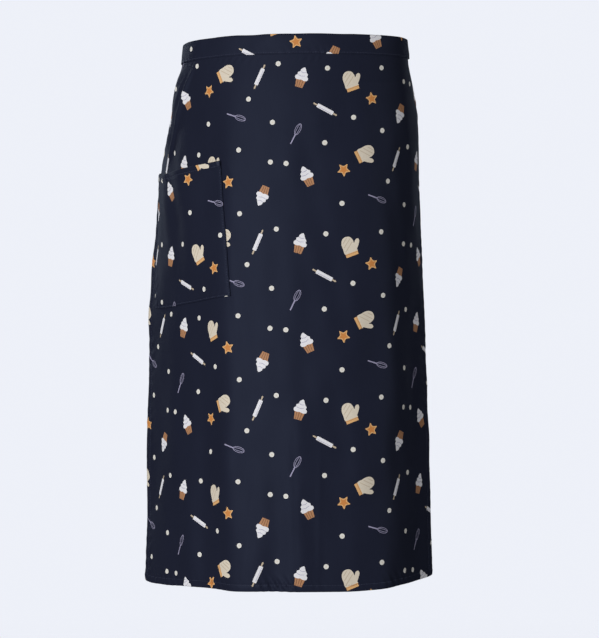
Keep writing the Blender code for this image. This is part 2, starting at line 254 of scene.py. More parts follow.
# %% The worn form
def worn_form(across, down):
    """Lattice of points of the worn cloth's outer face, without its fine relief."""
    share = across / HALF_WIDTH
    arc, oval_turn = waist_oval()
    waist_turn = np.interp(across, arc, oval_turn)
    hang_places = column(HANG, HANG_COLUMNS, "across")
    free_turn = np.radians(smooth_curve(hang_places, column(HANG, HANG_COLUMNS, "turn_deg"), share))
    fall_places = column(FALL, FALL_COLUMNS, "down")
    drop_share = down / CLOTH_DROP
    fall = {name: smooth_curve(fall_places, column(FALL, FALL_COLUMNS, name), drop_share)
            for name in FALL_COLUMNS[1:]}
    on_left = smooth_step(-SIDE_BLEND, SIDE_BLEND, share)
    points = np.zeros((len(down), len(across), 3))
    for row in range(len(down)):
        free = fall["right_free"][row] * (1 - on_left) + fall["left_free"][row] * on_left
        turn = (1 - free) * waist_turn + free * free_turn
        front_y = -WAIST_DEPTH * (0.5 + fall["front_out"][row])
        points[row, :, 0], points[row, :, 1] = plan_row(turn, across, front_y)
    step = down[1] - down[0]
    sideways = np.linalg.norm(np.diff(points[:, :, :2], axis=0), axis=2)
    sunk = np.sqrt(np.maximum(step * step - sideways * sideways, (LEAST_FALL * step) ** 2))
    points[1:, :, 2] = -np.cumsum(sunk, axis=0)
    band_lift = smooth_curve(hang_places, column(HANG, HANG_COLUMNS, "band_lift"), share)
    hem_lift = smooth_curve(hang_places, column(HANG, HANG_COLUMNS, "hem_lift"), share)
    lift = band_lift[None, :] + (hem_lift - band_lift)[None, :] * drop_share[:, None]
    points[:, :, 2] += CLOTH_DROP * lift + BAND_HEIGHT / 2
    heights = fold_heights(FOLDS, across[None, :], down[:, None])
    return points + surface_normals(points) * heights[:, :, None]


across_stations = np.linspace(-HALF_WIDTH, HALF_WIDTH, 2 * round(HALF_WIDTH / LATTICE_STEP) + 1)
down_stations = np.linspace(0.0, CLOTH_DROP, round(CLOTH_DROP / LATTICE_STEP) + 1)
smooth_face = worn_form(across_stations, down_stations)
print("lattice of the worn form:", smooth_face.shape)

# %% [markdown]
# ## The small unevenness of real cloth
#
# A hanging cloth is never quite smooth. Each row of stitches draws it together a little,
# which leaves a fine line with small puckers on both sides, and the doubled cloth of a
# turned hem stands a little proud of the single cloth. The rest is soft unevenness, a sum
# of waves in random directions that is the same in every run, because its seed is given.

# %% Seams and soft waves
SEAM_DEPTH = 0.00035
SEAM_HALF_WIDTH = 0.0011
HEM_SWELL = 0.00055
SWELLS_PAST_SEAM = (0.0015, -0.0025)
SWELLS_FROM_EDGE = (-0.002, 0.004)
PUCKER_SLANT = 0.55
PUCKER_DRIFT = 1.3
PUCKER_MEAN = 0.55
PUCKER_CHANGE = 0.45
DRIFT_WAVES = (0.030, 0.090, 6)
STRENGTH_WAVES = (0.035, 0.120, 6)
PUCKER_COLUMNS = ("height", "spacing", "reach")
PUCKERS = {
    "hem": (0.00075, 0.0105, 0.0085),
    "side hem": (0.00042, 0.0140, 0.0095),
    "under the band": (0.00030, 0.0105, 0.0080),
    "pocket mouth": (0.00025, 0.0095, 0.0060),
    "pocket edge": (0.00028, 0.0110, 0.0070),
    "band": (0.00022, 0.0100, 0.0065),
}


def soft_noise(x, y, shortest, longest, waves, seed):
    """Smooth random heights of about 1, as a sum of waves in random directions."""
    chance = np.random.default_rng(seed)
    total = np.zeros(np.broadcast(x, y).shape)
    weight = 0.0
    for _ in range(waves):
        length = shortest * (longest / shortest) ** chance.random()
        direction = chance.random() * 2 * math.pi
        phase = chance.random() * 2 * math.pi
        along = x * math.cos(direction) + y * math.sin(direction)
        total += length * np.cos(along * 2 * math.pi / length + phase)
        weight += length * length / 2
    return total / math.sqrt(weight)


def puckers(seam, along, beside, seed):
    """Small ripples that cross a seam, slanting as the machine's feed pulls them."""
    size = dict(zip(PUCKER_COLUMNS, PUCKERS[seam]))
    drift = PUCKER_DRIFT * soft_noise(along, beside * 0, *DRIFT_WAVES, seed)
    strength = PUCKER_MEAN + PUCKER_CHANGE * soft_noise(along, beside * 0, *STRENGTH_WAVES, seed + 1)
    wave = np.sin((along + PUCKER_SLANT * beside) * 2 * math.pi / size["spacing"] + drift)
    return size["height"] * (wave * strength * np.exp(-((beside / size["reach"]) ** 2)))


def seam_groove(beside):
    """The line that a row of stitches presses into the cloth."""
    return -SEAM_DEPTH * np.exp(-((beside / SEAM_HALF_WIDTH) ** 2))


def hem_swell(from_seam, from_edge):
    """The doubled cloth of a turned hem, a little proud of the single cloth beside it."""
    past_seam = smooth_step(*SWELLS_PAST_SEAM, from_seam)
    return HEM_SWELL * past_seam * smooth_step(*SWELLS_FROM_EDGE, from_edge)


print("puckers in mm:", {seam: round(size[0] * 1000, 2) for seam, size in PUCKERS.items()})

# %% [markdown]
# The panel gets all of it as one height over the flat cut, so the cloth's thickness stays
# the same. Soft upright ripples grow towards the hem, where nothing holds the cloth, and
# are calmer on the wearer's left, where the front is drawn taut. A few creases come from
# folding and from the pull of the band and the pocket. They are listed like the main
# folds. Broad places of fullness, such as those over the hips, complete the outline.

# %% Relief
HEM_SEAM_INSIDE = 0.0085
SIDE_SEAM_INSIDE = 0.0105
RIPPLE_HEIGHT = 0.0010
RIPPLE_WAVES = (0.035, 0.080, 14)
RIPPLE_STRETCH = 0.10
RIPPLE_AT_TOP = 0.35
RIPPLE_GROWS = (0.15, 0.65)
TAUT_ON_LEFT = 0.75
TAUT_SHARE = (0.10, 0.36)
UNEVEN_HEIGHT = 0.0006
UNEVEN_WAVES = (0.030, 0.110, 22)
UNEVEN_STRETCH = 0.6
CALM_BELOW_BAND = 0.10
FULL_BELOW_BAND = 0.020
SIDES_FREE_BELOW_BAND = 0.006
JUST_INSIDE = 1.001
CREASES = (
    (-0.50, 0.045, -0.82, 0.225, 0.0066, 0.66),
    (-0.60, 0.060, -0.94, 0.215, 0.0080, -0.30),
    (0.18, 0.095, 0.78, 0.082, 0.007, 0.055),
    (0.20, 0.165, 0.80, 0.150, 0.007, -0.050),
    (-0.26, 0.225, -0.13, 0.30, 0.008, 0.10),
    (-0.24, 0.35, -0.18, 0.56, 0.009, 0.10),
    (0.10, 0.70, 0.115, 0.98, 0.009, -0.10),
    (0.235, 0.74, 0.225, 0.99, 0.008, 0.09),
    (0.27, 0.50, 0.26, 1.00, 0.038, 0.42),
    (0.50, 0.40, 0.49, 1.00, 0.040, -0.36),
    (-0.10, 0.80, -0.16, 0.99, 0.010, 0.09),
)
FULLNESS_COLUMNS = ("across", "down", "half_across", "half_down", "height")
FULLNESS = (
    (-0.74, 0.095, 0.24, 0.055, 0.0036),
    (0.98, 0.165, 0.26, 0.085, 0.0042),
    (1.00, 0.580, 0.30, 0.170, -0.0027),
    (-0.98, 0.345, 0.20, 0.060, -0.0036),
    (-1.00, 0.515, 0.12, 0.030, 0.0016),
)


def fullness(across, down):
    """Broad places where the worn cloth stands a little further out, or hangs further in."""
    height = np.zeros(np.broadcast(across, down).shape)
    for full in named_rows(FULLNESS, FULLNESS_COLUMNS):
        u = (across / HALF_WIDTH - full["across"]) / full["half_across"]
        v = (down / CLOTH_DROP - full["down"]) / full["half_down"]
        height += full["height"] * np.exp(-(u * u + v * v))
    return height


def cloth_relief(across, down):
    """Height of the fine relief over the flat panel."""
    below_band = smooth_step(BAND_HEIGHT, BAND_HEIGHT + CALM_BELOW_BAND, down)
    freedom = below_band * (RIPPLE_AT_TOP + (1 - RIPPLE_AT_TOP) * smooth_step(*RIPPLE_GROWS, down))
    taut = 1 - TAUT_ON_LEFT * smooth_step(*TAUT_SHARE, across / HALF_WIDTH)
    ripples = soft_noise(across, down * RIPPLE_STRETCH, *RIPPLE_WAVES, 11)
    height = RIPPLE_HEIGHT * freedom * taut * ripples
    height += UNEVEN_HEIGHT * below_band * soft_noise(across, down * UNEVEN_STRETCH, *UNEVEN_WAVES, 12)
    height += fold_heights(CREASES, across, down)
    height += fullness(across, down) * smooth_step(BAND_HEIGHT, BAND_HEIGHT + FULL_BELOW_BAND, down)
    from_seam = CLOTH_DROP - HEM_SEAM_INSIDE - down
    height += puckers("hem", across, from_seam, 21)
    height += seam_groove(from_seam) + hem_swell(from_seam, CLOTH_DROP - down)
    free_side = smooth_step(BAND_HEIGHT, BAND_HEIGHT + SIDES_FREE_BELOW_BAND, down)
    for side, seed in ((-1, 31), (1, 41)):
        from_seam = HALF_WIDTH - SIDE_SEAM_INSIDE - side * across
        height += free_side * puckers("side hem", down, from_seam, seed)
        height += free_side * (seam_groove(from_seam) + hem_swell(from_seam, HALF_WIDTH - side * across))
    height += free_side * puckers("under the band", across, down - BAND_HEIGHT, 51)
    return height


ACROSS, DOWN = np.meshgrid(across_stations, down_stations)
relief = cloth_relief(ACROSS, DOWN)
FACE = smooth_face + surface_normals(smooth_face) * relief[:, :, None]
NORMAL = surface_normals(FACE)
print("relief in mm, lowest and highest:", round(relief.min() * 1000, 2), round(relief.max() * 1000, 2))


def on_cloth(flat, out):
    """Points for flat places (across, down), out metres in front of the cloth's face."""
    u = np.clip((flat[:, 0] + HALF_WIDTH) / LATTICE_STEP, 0, FACE.shape[1] - JUST_INSIDE)
    v = np.clip(flat[:, 1] / LATTICE_STEP, 0, FACE.shape[0] - JUST_INSIDE)
    i = u.astype(int)
    j = v.astype(int)
    u = (u - i)[:, None]
    v = (v - j)[:, None]
    corners = ((0, 0, (1 - u) * (1 - v)), (0, 1, u * (1 - v)), (1, 0, (1 - u) * v), (1, 1, u * v))
    point = sum(FACE[j + dj, i + di] * weight for dj, di, weight in corners)
    normal = sum(NORMAL[j + dj, i + di] * weight for dj, di, weight in corners)
    normal /= np.linalg.norm(normal, axis=1, keepdims=True)
    return point + normal * np.broadcast_to(out, len(flat))[:, None]


# %% [markdown]
# ## Finishes
#
# The cloth is a fine twill of cotton, dyed a blue so dark that it is nearly black, with
# the motifs printed on top. Seen close, it is threads: the twill's ribs run aslant, some
# threads are a little lighter, and the ink lies thinner where a thread dips. All of these
# materials share the same threads, so the weave is built once, as a group of nodes with
# named inputs, and each material places it with its own colours. Heights go to a Bump
# node, because threads are far too fine to model.

# %% Node helpers
THREAD_PITCH = 0.00055


def new_group(name, inputs, outputs):
    """A shader group with named sockets, and its entry and exit nodes."""
    group = bpy.data.node_groups.new(name, "ShaderNodeTree")
    for label, kind, value in inputs:
        socket = group.interface.new_socket(name=label, in_out="INPUT", socket_type=kind)
        socket.default_value = value
    for label, kind in outputs:
        group.interface.new_socket(name=label, in_out="OUTPUT", socket_type=kind)
    return group, group.nodes.new("NodeGroupInput"), group.nodes.new("NodeGroupOutput")


def feed(tree, socket, value):
    """A socket set to a number or colour, or linked to another node's output."""
    if isinstance(value, (int, float, tuple)):
        socket.default_value = value
    else:
        tree.links.new(value, socket)


def calc(tree, operation, first, second=0.0):
    """A Math node, whose inputs are numbers or other nodes' outputs."""
    node = tree.nodes.new("ShaderNodeMath")
    node.operation = operation
    feed(tree, node.inputs[0], first)
    feed(tree, node.inputs[1], second)
    return node.outputs[0]


def noise(tree, place, scale, stretch):
    """Values of a Noise node over the flat place, stretched down the cloth."""
    mapping = tree.nodes.new("ShaderNodeMapping")
    mapping.inputs["Scale"].default_value = (scale, scale / stretch, scale)
    texture = tree.nodes.new("ShaderNodeTexNoise")
    texture.inputs["Scale"].default_value = 1.0
    texture.inputs["Detail"].default_value = 2.0
    tree.links.new(place, mapping.inputs["Vector"])
    tree.links.new(mapping.outputs["Vector"], texture.inputs["Vector"])
    return texture.outputs[0]


def mixed(tree, blend, factor, first, second):
    """A colour Mix node, whose inputs are colours or other nodes' outputs."""
    node = tree.nodes.new("ShaderNodeMix")
    node.data_type = "RGBA"
    node.blend_type = blend
    for index, value in ((0, factor), (6, first), (7, second)):
        feed(tree, node.inputs[index], value)
    return node.outputs[2]


print("threads lie", THREAD_PITCH * 1000, "mm apart")

# %% [markdown]
# There are three groups. The first gives the height and the tone of the threads, the
# second dyes the cloth unevenly with that tone, and the third lays ink over the dye.

# %% Shader groups
RIBS_A_TURN = 1 / 3
RIB_SHARE = 0.32
WARP_SHARE = 0.18
SLUBS = (1400.0, 24.0)
BROAD_TONES = (22.0, 2.2)
INK_GRAINS = (500.0, 1.0)
SLUB_WEIGHT = 1.3
MIDDLE_TONE = 1.15


def make_weave():
    """The threads: a height for the ribs of the twill, and how light each thread is."""
    inputs = (("Place", "NodeSocketVector", (0, 0, 0)), ("Pitch", "NodeSocketFloat", THREAD_PITCH))
    outputs = (("Height", "NodeSocketFloat"), ("Thread", "NodeSocketFloat"))
    group, entry, leave = new_group("twill_weave", inputs, outputs)
    split = group.nodes.new("ShaderNodeSeparateXYZ")
    group.links.new(entry.outputs["Place"], split.inputs[0])
    turns = []
    for axis in (0, 1):
        whole = calc(group, "MULTIPLY", split.outputs[axis], 2 * math.pi)
        turns.append(calc(group, "DIVIDE", whole, entry.outputs["Pitch"]))
    rib = calc(group, "SINE", calc(group, "MULTIPLY", calc(group, "ADD", *turns), RIBS_A_TURN))
    warp = calc(group, "SINE", turns[0])
    weighed = [calc(group, "MULTIPLY", rib, RIB_SHARE), calc(group, "MULTIPLY", warp, WARP_SHARE)]
    feed(group, leave.inputs["Height"], calc(group, "ADD", calc(group, "ADD", *weighed), 0.5))
    feed(group, leave.inputs["Thread"], noise(group, entry.outputs["Place"], *SLUBS))
    return group


def make_dyed():
    """Dyed cloth: the ground colour, uneven from thread to thread and from place to place."""
    inputs = (("Place", "NodeSocketVector", (0, 0, 0)), ("Ground", "NodeSocketColor", (0, 0, 0, 1)),
              ("Thread", "NodeSocketFloat", 0.5), ("Unevenness", "NodeSocketFloat", 0.2))
    group, entry, leave = new_group("dyed_cloth", inputs, (("Colour", "NodeSocketColor"),))
    broad = noise(group, entry.outputs["Place"], *BROAD_TONES)
    both = calc(group, "ADD", calc(group, "MULTIPLY", entry.outputs["Thread"], SLUB_WEIGHT), broad)
    off_middle = calc(group, "SUBTRACT", both, MIDDLE_TONE)
    change = calc(group, "MULTIPLY", off_middle, entry.outputs["Unevenness"])
    light = group.nodes.new("ShaderNodeCombineColor")
    for channel in range(3):
        group.links.new(calc(group, "ADD", change, 1.0), light.inputs[channel])
    colour = mixed(group, "MULTIPLY", 1.0, entry.outputs["Ground"], light.outputs[0])
    feed(group, leave.inputs["Colour"], colour)
    return group


def make_inked():
    """Printed ink: it thins where a thread dips, and the ground shows through there."""
    inputs = (("Place", "NodeSocketVector", (0, 0, 0)), ("Ink", "NodeSocketColor", (1, 1, 1, 1)),
              ("Ground", "NodeSocketColor", (0, 0, 0, 1)), ("Height", "NodeSocketFloat", 0.5),
              ("Thinness", "NodeSocketFloat", 0.3))
    group, entry, leave = new_group("printed_ink", inputs, (("Colour", "NodeSocketColor"),))
    depth = calc(group, "SUBTRACT", 1.0, entry.outputs["Height"])
    dipped = calc(group, "MULTIPLY", depth, entry.outputs["Thinness"])
    patchy = calc(group, "MULTIPLY", noise(group, entry.outputs["Place"], *INK_GRAINS), dipped)
    colour = mixed(group, "MIX", patchy, entry.outputs["Ink"], entry.outputs["Ground"])
    feed(group, leave.inputs["Colour"], colour)
    return group


weave_group = make_weave()
dyed_group = make_dyed()
inked_group = make_inked()
print("shader groups:", [group.name for group in bpy.data.node_groups])

# %% [markdown]
# Every cloth material is then a Principled BSDF with a weave in its Bump node. Cotton is
# dull, with a faint sheen from its fine hairs, and it is dullest where the surface turns
# away from the eye, so a Layer Weight node makes it rougher there. The ink covers the
# hairs and has no sheen. The back of the cloth is paler, because the dye is on the face.
# The thread is polyester, which is smoother and catches the light.

# %% Materials
NAVY = (0.0112, 0.0130, 0.0262, 1.0)
NAVY_BACK = (0.0210, 0.0245, 0.0420, 1.0)
NAVY_PLAIN = (0.0108, 0.0125, 0.0250, 1.0)
THREAD_COLOUR = (0.046, 0.051, 0.084, 1.0)
COOL_SHINE = (0.55, 0.68, 1.0, 1.0)
SHEEN_TINT = (0.75, 0.82, 1.0, 1.0)
SHEEN_ROUGHNESS = 0.45
DULLED_POWER = 2.0
THREAD_DEPTH = THREAD_PITCH / 2
INKS = {
    "white": (0.82, 0.81, 0.84, 1.0),
    "cream": (0.72, 0.64, 0.52, 1.0),
    "oat": (0.55, 0.45, 0.33, 1.0),
    "ivory": (0.76, 0.74, 0.69, 1.0),
    "tan": (0.47, 0.235, 0.115, 1.0),
    "brown": (0.19, 0.085, 0.040, 1.0),
    "amber": (0.62, 0.245, 0.065, 1.0),
    "honey": (0.75, 0.43, 0.18, 1.0),
    "lilac": (0.36, 0.34, 0.48, 1.0),
}
PLACE_MAP = "flat_place"


def group_node(tree, group, **values):
    """A placed group, its inputs set to values or linked to other nodes' outputs."""
    node = tree.nodes.new("ShaderNodeGroup")
    node.node_tree = group
    for label, value in values.items():
        feed(tree, node.inputs[label], value)
    return node


def cloth_material(name, ground, ink=None, roughness=0.6, specular=0.125, sheen=0.012, bump=0.16):
    """A woven finish, plain or printed."""
    material = bpy.data.materials.new(name)
    material.use_nodes = True
    tree = material.node_tree
    shader = tree.nodes["Principled BSDF"]
    place = tree.nodes.new("ShaderNodeUVMap")
    place.uv_map = PLACE_MAP
    weave = group_node(tree, weave_group, Place=place.outputs[0])
    dyed = group_node(tree, dyed_group, Place=place.outputs[0], Ground=ground,
                      Thread=weave.outputs["Thread"])
    colour = dyed.outputs["Colour"]
    if ink:
        inked = group_node(tree, inked_group, Place=place.outputs[0], Ink=ink, Ground=colour,
                           Height=weave.outputs["Height"])
        colour = inked.outputs["Colour"]
    tree.links.new(colour, shader.inputs["Base Color"])
    relief = tree.nodes.new("ShaderNodeBump")
    relief.inputs["Strength"].default_value = bump
    relief.inputs["Distance"].default_value = THREAD_DEPTH
    tree.links.new(weave.outputs["Height"], relief.inputs["Height"])
    tree.links.new(relief.outputs["Normal"], shader.inputs["Normal"])
    turned = tree.nodes.new("ShaderNodeLayerWeight")
    away = calc(tree, "POWER", turned.outputs["Facing"], DULLED_POWER)
    dulled = calc(tree, "MULTIPLY", away, 1.0 - roughness)
    tree.links.new(calc(tree, "ADD", dulled, roughness), shader.inputs["Roughness"])
    shader.inputs["Specular IOR Level"].default_value = specular
    shader.inputs["Specular Tint"].default_value = COOL_SHINE
    shader.inputs["Sheen Weight"].default_value = sheen
    shader.inputs["Sheen Roughness"].default_value = SHEEN_ROUGHNESS
    shader.inputs["Sheen Tint"].default_value = SHEEN_TINT
    return material


ground_cloth = cloth_material("navy_twill", NAVY)
reverse_cloth = cloth_material("navy_twill_back", NAVY_BACK, roughness=0.8, sheen=0.08, bump=0.22)
plain_cloth = cloth_material("navy_twill_plain", NAVY_PLAIN)
thread = cloth_material("polyester_thread", THREAD_COLOUR, roughness=0.45, specular=0.4, sheen=0.0,
                        bump=0.3)
ink_names = list(INKS)
ink_cloths = [cloth_material("ink_" + name, NAVY, ink=INKS[name], sheen=0.0) for name in ink_names]
PRINTED = [ground_cloth, reverse_cloth] + ink_cloths
FIRST_INK = 2
print("materials:", [material.name for material in PRINTED + [plain_cloth, thread]])

# %% [markdown]
# ## The print
#
# The print is a scatter of small kitchen things between cream dots. A painted picture
# would be coarse when the cloth is seen close, so each motif is drawn as outlines, from
# the back layer to the front one. The outlines are cut into the mesh of the cloth, and
# the faces inside them take the ink's material. So the print bends with the cloth and
# stays sharp at any distance. Outlines are in millimetres, with up as +y.

# %% Outlines
LOOP_STEPS = 4


def disc(x, y, radius, count=20):
    """A round spot."""
    turns = np.linspace(0, 2 * math.pi, count, endpoint=False)
    return np.column_stack([x + radius * np.cos(turns), y + radius * np.sin(turns)])


def soft_loop(points):
    """A closed soft outline through a few points."""
    points = np.array(points, dtype=float)
    before = np.roll(points, 1, axis=0)
    after = np.roll(points, -1, axis=0)
    beyond = np.roll(points, -2, axis=0)
    rows = []
    for step in range(LOOP_STEPS):
        t = step / LOOP_STEPS
        rows.append(0.5 * (2 * points + (after - before) * t
                           + (2 * before - 5 * points + 4 * after - beyond) * t * t
                           + (3 * points - before - 3 * after + beyond) * t ** 3))
    return np.stack(rows, axis=1).reshape(-1, 2)


def stroke(points, width):
    """A line of even width along a few points."""
    points = np.array(points, dtype=float)
    run = np.gradient(points, axis=0)
    side = np.column_stack([-run[:, 1], run[:, 0]]) / np.linalg.norm(run, axis=1)[:, None]
    return np.concatenate([points + side * width / 2, (points - side * width / 2)[::-1]])


def star(radius, waist, tips=5):
    """A star with soft tips."""
    turns = np.arange(2 * tips) * math.pi / tips + math.pi / 2
    reach = np.where(np.arange(2 * tips) % 2 == 0, radius, waist)
    return soft_loop(np.column_stack([reach * np.cos(turns), reach * np.sin(turns)]))


print("points in the outline of a star:", len(star(8.4, 4.6)))

# %% [markdown]
# Each motif is a list of inks with their outlines. There are five kitchen things and a
# dot, all of them drawn from a handful of points, since each is only 6 to 35 mm long.

# %% Motifs
def cupcake():
    """A pleated paper case with a swirl of icing."""
    case = [(-6.4, -2.0), (6.4, -2.0), (4.6, -12.6), (-4.6, -12.6)]
    layers = [("tan", np.array(case))]
    for share in (-0.55, -0.05, 0.45):
        layers.append(("brown", stroke([(share * 6.6, -3.0), (share * 5.0, -12.2)], 0.7)))
    layers.append(("white", soft_loop([
        (-7.6, -2.4), (-8.3, 0.8), (-6.2, 3.0), (-6.4, 5.6), (-3.9, 7.6), (-3.4, 10.4), (0.4, 13.4),
        (2.9, 10.0), (4.4, 7.4), (6.6, 5.2), (6.2, 2.6), (8.3, 0.6), (7.6, -2.6), (3.8, -3.4), (0, -2.6),
        (-3.8, -3.4)])))
    layers.append(("lilac", stroke([(-5.6, 2.6), (-1.0, 1.6), (3.6, 3.0)], 0.6)))
    layers.append(("lilac", stroke([(-3.4, 7.2), (0.2, 6.4), (3.2, 7.4)], 0.6)))
    return layers


def mitt():
    """A quilted oven mitt."""
    hand = [(-8.0, -8.5), (-9.2, -1.0), (-9.0, 6.0), (-6.0, 11.4), (-0.8, 13.0), (4.2, 11.0), (6.4, 6.0),
            (6.6, 2.4), (9.6, 5.8), (13.0, 6.0), (13.6, 2.6), (10.4, -2.4), (7.4, -6.0), (6.8, -8.5)]
    layers = [("cream", soft_loop(hand))]
    quilting = (((-6.4, 6.5), (-0.5, 11.2)), ((-7.6, 0.5), (3.6, 9.2)), ((-7.2, -5.0), (4.8, 4.4)))
    for start, finish in quilting:
        layers.append(("oat", stroke([start, finish], 0.8)))
    layers.append(("honey", np.array([(-8.6, -8.0), (7.4, -8.0), (7.4, -12.4), (-8.6, -12.4)])))
    layers.append(("tan", stroke([(-8.6, -9.0), (7.4, -9.0)], 0.6)))
    return layers


def biscuit():
    """A star biscuit with a darker middle."""
    return [("honey", star(8.4, 4.6)), ("amber", star(5.8, 3.2))]


def rolling_pin():
    """A rolling pin with slim handles."""
    handles = [(-17.0, 0), (-15.8, 1.1), (-11, 0.8), (11, 0.8), (15.8, 1.1), (17.0, 0), (15.8, -1.1),
               (11, -0.8), (-11, -0.8), (-15.8, -1.1)]
    body = [(-11.2, 2.3), (-10.4, 2.6), (10.4, 2.6), (11.2, 2.3), (11.2, -2.3), (10.4, -2.6), (-10.4, -2.6),
            (-11.2, -2.3)]
    shade = stroke([(-9, -1.2), (9, -1.2)], 0.5)
    return [("oat", np.array(handles)), ("white", np.array(body)), ("lilac", shade)]


def whisk():
    """A wire whisk in thin lines."""
    turns = np.linspace(-0.5 * math.pi, 0.5 * math.pi, 9)
    layers = [("lilac", stroke([(-15.0, 0.0), (-2.0, 0.0)], 1.5))]
    for swell in (3.4, 1.5, -1.5, -3.4):
        wire = np.column_stack([5.5 + 7.5 * np.sin(turns), swell * np.cos(turns)])
        layers.append(("lilac", stroke(wire, 0.55)))
    return layers


def dot():
    """A cream dot with a softer middle."""
    return [("ivory", disc(0, 0, 3.2)), ("cream", disc(0.2, -0.1, 1.0, 10))]


MOTIFS = {"cupcake": cupcake(), "mitt": mitt(), "biscuit": biscuit(), "pin": rolling_pin(),
          "whisk": whisk(), "dot": dot()}
print("motifs:", {name: len(layers) for name, layers in MOTIFS.items()})

# %% [markdown]
# One repeat of the print is a table of motifs with their places. Columns of repeats drop
# by half a repeat, as printed cloth often does, so that the eye finds no rows.

# %% The repeat
REPEAT_WIDTH = 0.184
REPEAT_DROP = 0.208
LAYOUT_COLUMNS = ("motif", "across_mm", "down_mm", "turn_deg")
LAYOUT = (
    ("cupcake", 22, 26, -16), ("mitt", 84, 30, 20), ("biscuit", 112, 52, 10), ("cupcake", 158, 70, 158),
    ("pin", 52, 66, -28), ("whisk", 16, 96, 64), ("mitt", 104, 122, -64), ("biscuit", 76, 142, 40),
    ("cupcake", 30, 150, 24), ("pin", 152, 128, 66), ("whisk", 122, 178, -18), ("dot", 54, 14, 0),
    ("dot", 126, 12, 0), ("dot", 168, 28, 0), ("dot", 88, 76, 0), ("dot", 128, 92, 0), ("dot", 52, 108, 0),
    ("dot", 176, 112, 0), ("dot", 4, 134, 0), ("dot", 138, 156, 0), ("dot", 74, 184, 0),
    ("dot", 170, 186, 0),
)


def clip_outline(points, low, high):
    """The part of an outline inside a rectangle."""
    for axis in (0, 1):
        for limit, side in ((low[axis], 1.0), (high[axis], -1.0)):
            kept = []
            inside = (points[:, axis] - limit) * side
            for k in range(len(points)):
                if inside[k - 1] * inside[k] < 0:
                    share = inside[k - 1] / (inside[k - 1] - inside[k])
                    crossing = points[k - 1] + (points[k] - points[k - 1]) * share
                    crossing[axis] = limit
                    kept.append(crossing)
                if inside[k] >= 0:
                    kept.append(points[k])
            if len(kept) < 3:
                return None
            points = np.array(kept)
    return points


def print_over(low, high, shift):
    """Outlines with their inks that cover a flat rectangle, with the repeat moved by a shift."""
    outlines = []
    first = math.floor((low[0] - shift[0]) / REPEAT_WIDTH) - 1
    last = math.ceil((high[0] - shift[0]) / REPEAT_WIDTH) + 1
    top = math.floor((low[1] - shift[1]) / REPEAT_DROP) - 2
    bottom = math.ceil((high[1] - shift[1]) / REPEAT_DROP) + 1
    for across in range(first, last):
        for down in range(top, bottom):
            corner = np.array([across * REPEAT_WIDTH, (down + 0.5 * (across % 2)) * REPEAT_DROP]) + shift
            for spot in named_rows(LAYOUT, LAYOUT_COLUMNS):
                turn = math.radians(spot["turn_deg"])
                middle = corner + np.array([spot["across_mm"], spot["down_mm"]]) / 1000
                for ink, outline in MOTIFS[spot["motif"]]:
                    x = outline[:, 0] * math.cos(turn) - outline[:, 1] * math.sin(turn)
                    y = outline[:, 0] * math.sin(turn) + outline[:, 1] * math.cos(turn)
                    placed = clip_outline(middle + np.column_stack([x, -y]) / 1000, low, high)
                    if placed is not None:
                        outlines.append((ink, placed))
    return outlines


print("motifs in one repeat:", len(LAYOUT))

# %% [markdown]
# ## Cut cloth with turned edges
#
# Each piece of printed cloth is made the same way. Its flat rectangle is filled with
# points on a grid, finer beside the seams, and with the outlines of the print. A
# triangulation joins them all, and each triangle asks which outline it lies in. Then
# every flat point is placed on the worn form, once for the face and once for the back,
# and a round edge joins the two. A grid with a Solidify modifier would be quicker to
# build, but its faces would cut across the print.

# %% Flat meshes
MERGE_DISTANCE = 1e-6
SMALLEST_AREA = 1e-13


def stations(lines, steps):
    """Places at each line, and at even steps of about the given sizes between them."""
    places = [lines[0]]
    for low, high, step in zip(lines, lines[1:], steps):
        count = max(1, round((high - low) / step))
        places += [low + (high - low) * k / count for k in range(1, count + 1)]
    return np.array(places)


def edged_stations(low, high, insets, steps, middle_step):
    """Stations between two edges, with the same insets and steps beside both."""
    near_low = [low + inset for inset in insets]
    near_high = [high - inset for inset in insets[::-1]]
    return stations([low, *near_low, *near_high, high], [*steps, middle_step, *steps[::-1]])


def turning(outline):
    """Above 0 for an outline that runs anticlockwise."""
    after = np.roll(outline, -1, axis=0)
    return np.sum(outline[:, 0] * after[:, 1] - after[:, 0] * outline[:, 1])


def triangulate(points, outlines):
    """Flat triangles through all points and outlines, and the topmost outline of each."""
    loops = []
    for outline in outlines:
        if turning(outline) < 0:
            outline = outline[::-1]
        loops.append(list(range(len(points), len(points) + len(outline))))
        points = np.concatenate([points, outline])
    vectors = [Vector(point) for point in points]
    flat, _, faces, _, _, sources = delaunay_2d_cdt(vectors, [], loops, 0, MERGE_DISTANCE, True)
    flat = np.array([tuple(point) for point in flat])
    faces = np.array(faces)
    corners = flat[faces]
    area = np.cross(corners[:, 1] - corners[:, 0], corners[:, 2] - corners[:, 0])
    kept = np.abs(area) > SMALLEST_AREA
    topmost = np.array([max(source) if source else -1 for source in sources])
    return flat, faces[kept], topmost[kept]


def edge_order(flat, low, high):
    """The points on the rectangle's edge, in order round it."""
    order = []
    for axis, limit, way in ((1, low, 1), (0, high, 1), (1, high, -1), (0, low, -1)):
        on_side = np.flatnonzero(np.abs(flat[:, axis] - limit[axis]) < MERGE_DISTANCE)
        on_side = on_side[np.argsort(way * flat[on_side, 1 - axis])]
        order += list(on_side[1:] if order else on_side)
    return np.array(order[:-1])


def grid_points(columns, rows):
    """All pairs of two lists of stations."""
    x, y = np.meshgrid(columns, rows)
    return np.column_stack([x.ravel(), y.ravel()])


print("points closer than", MERGE_DISTANCE * 1000, "mm are merged")

# %% [markdown]
# Two flat meshes make one piece. The front carries the print, and the back is coarser.
# Both are placed on the worn form, and a ring of faces round the edge closes the piece.
# The normals of the front are taken from the form itself, because the long thin faces of
# a triangulation would shade unevenly.

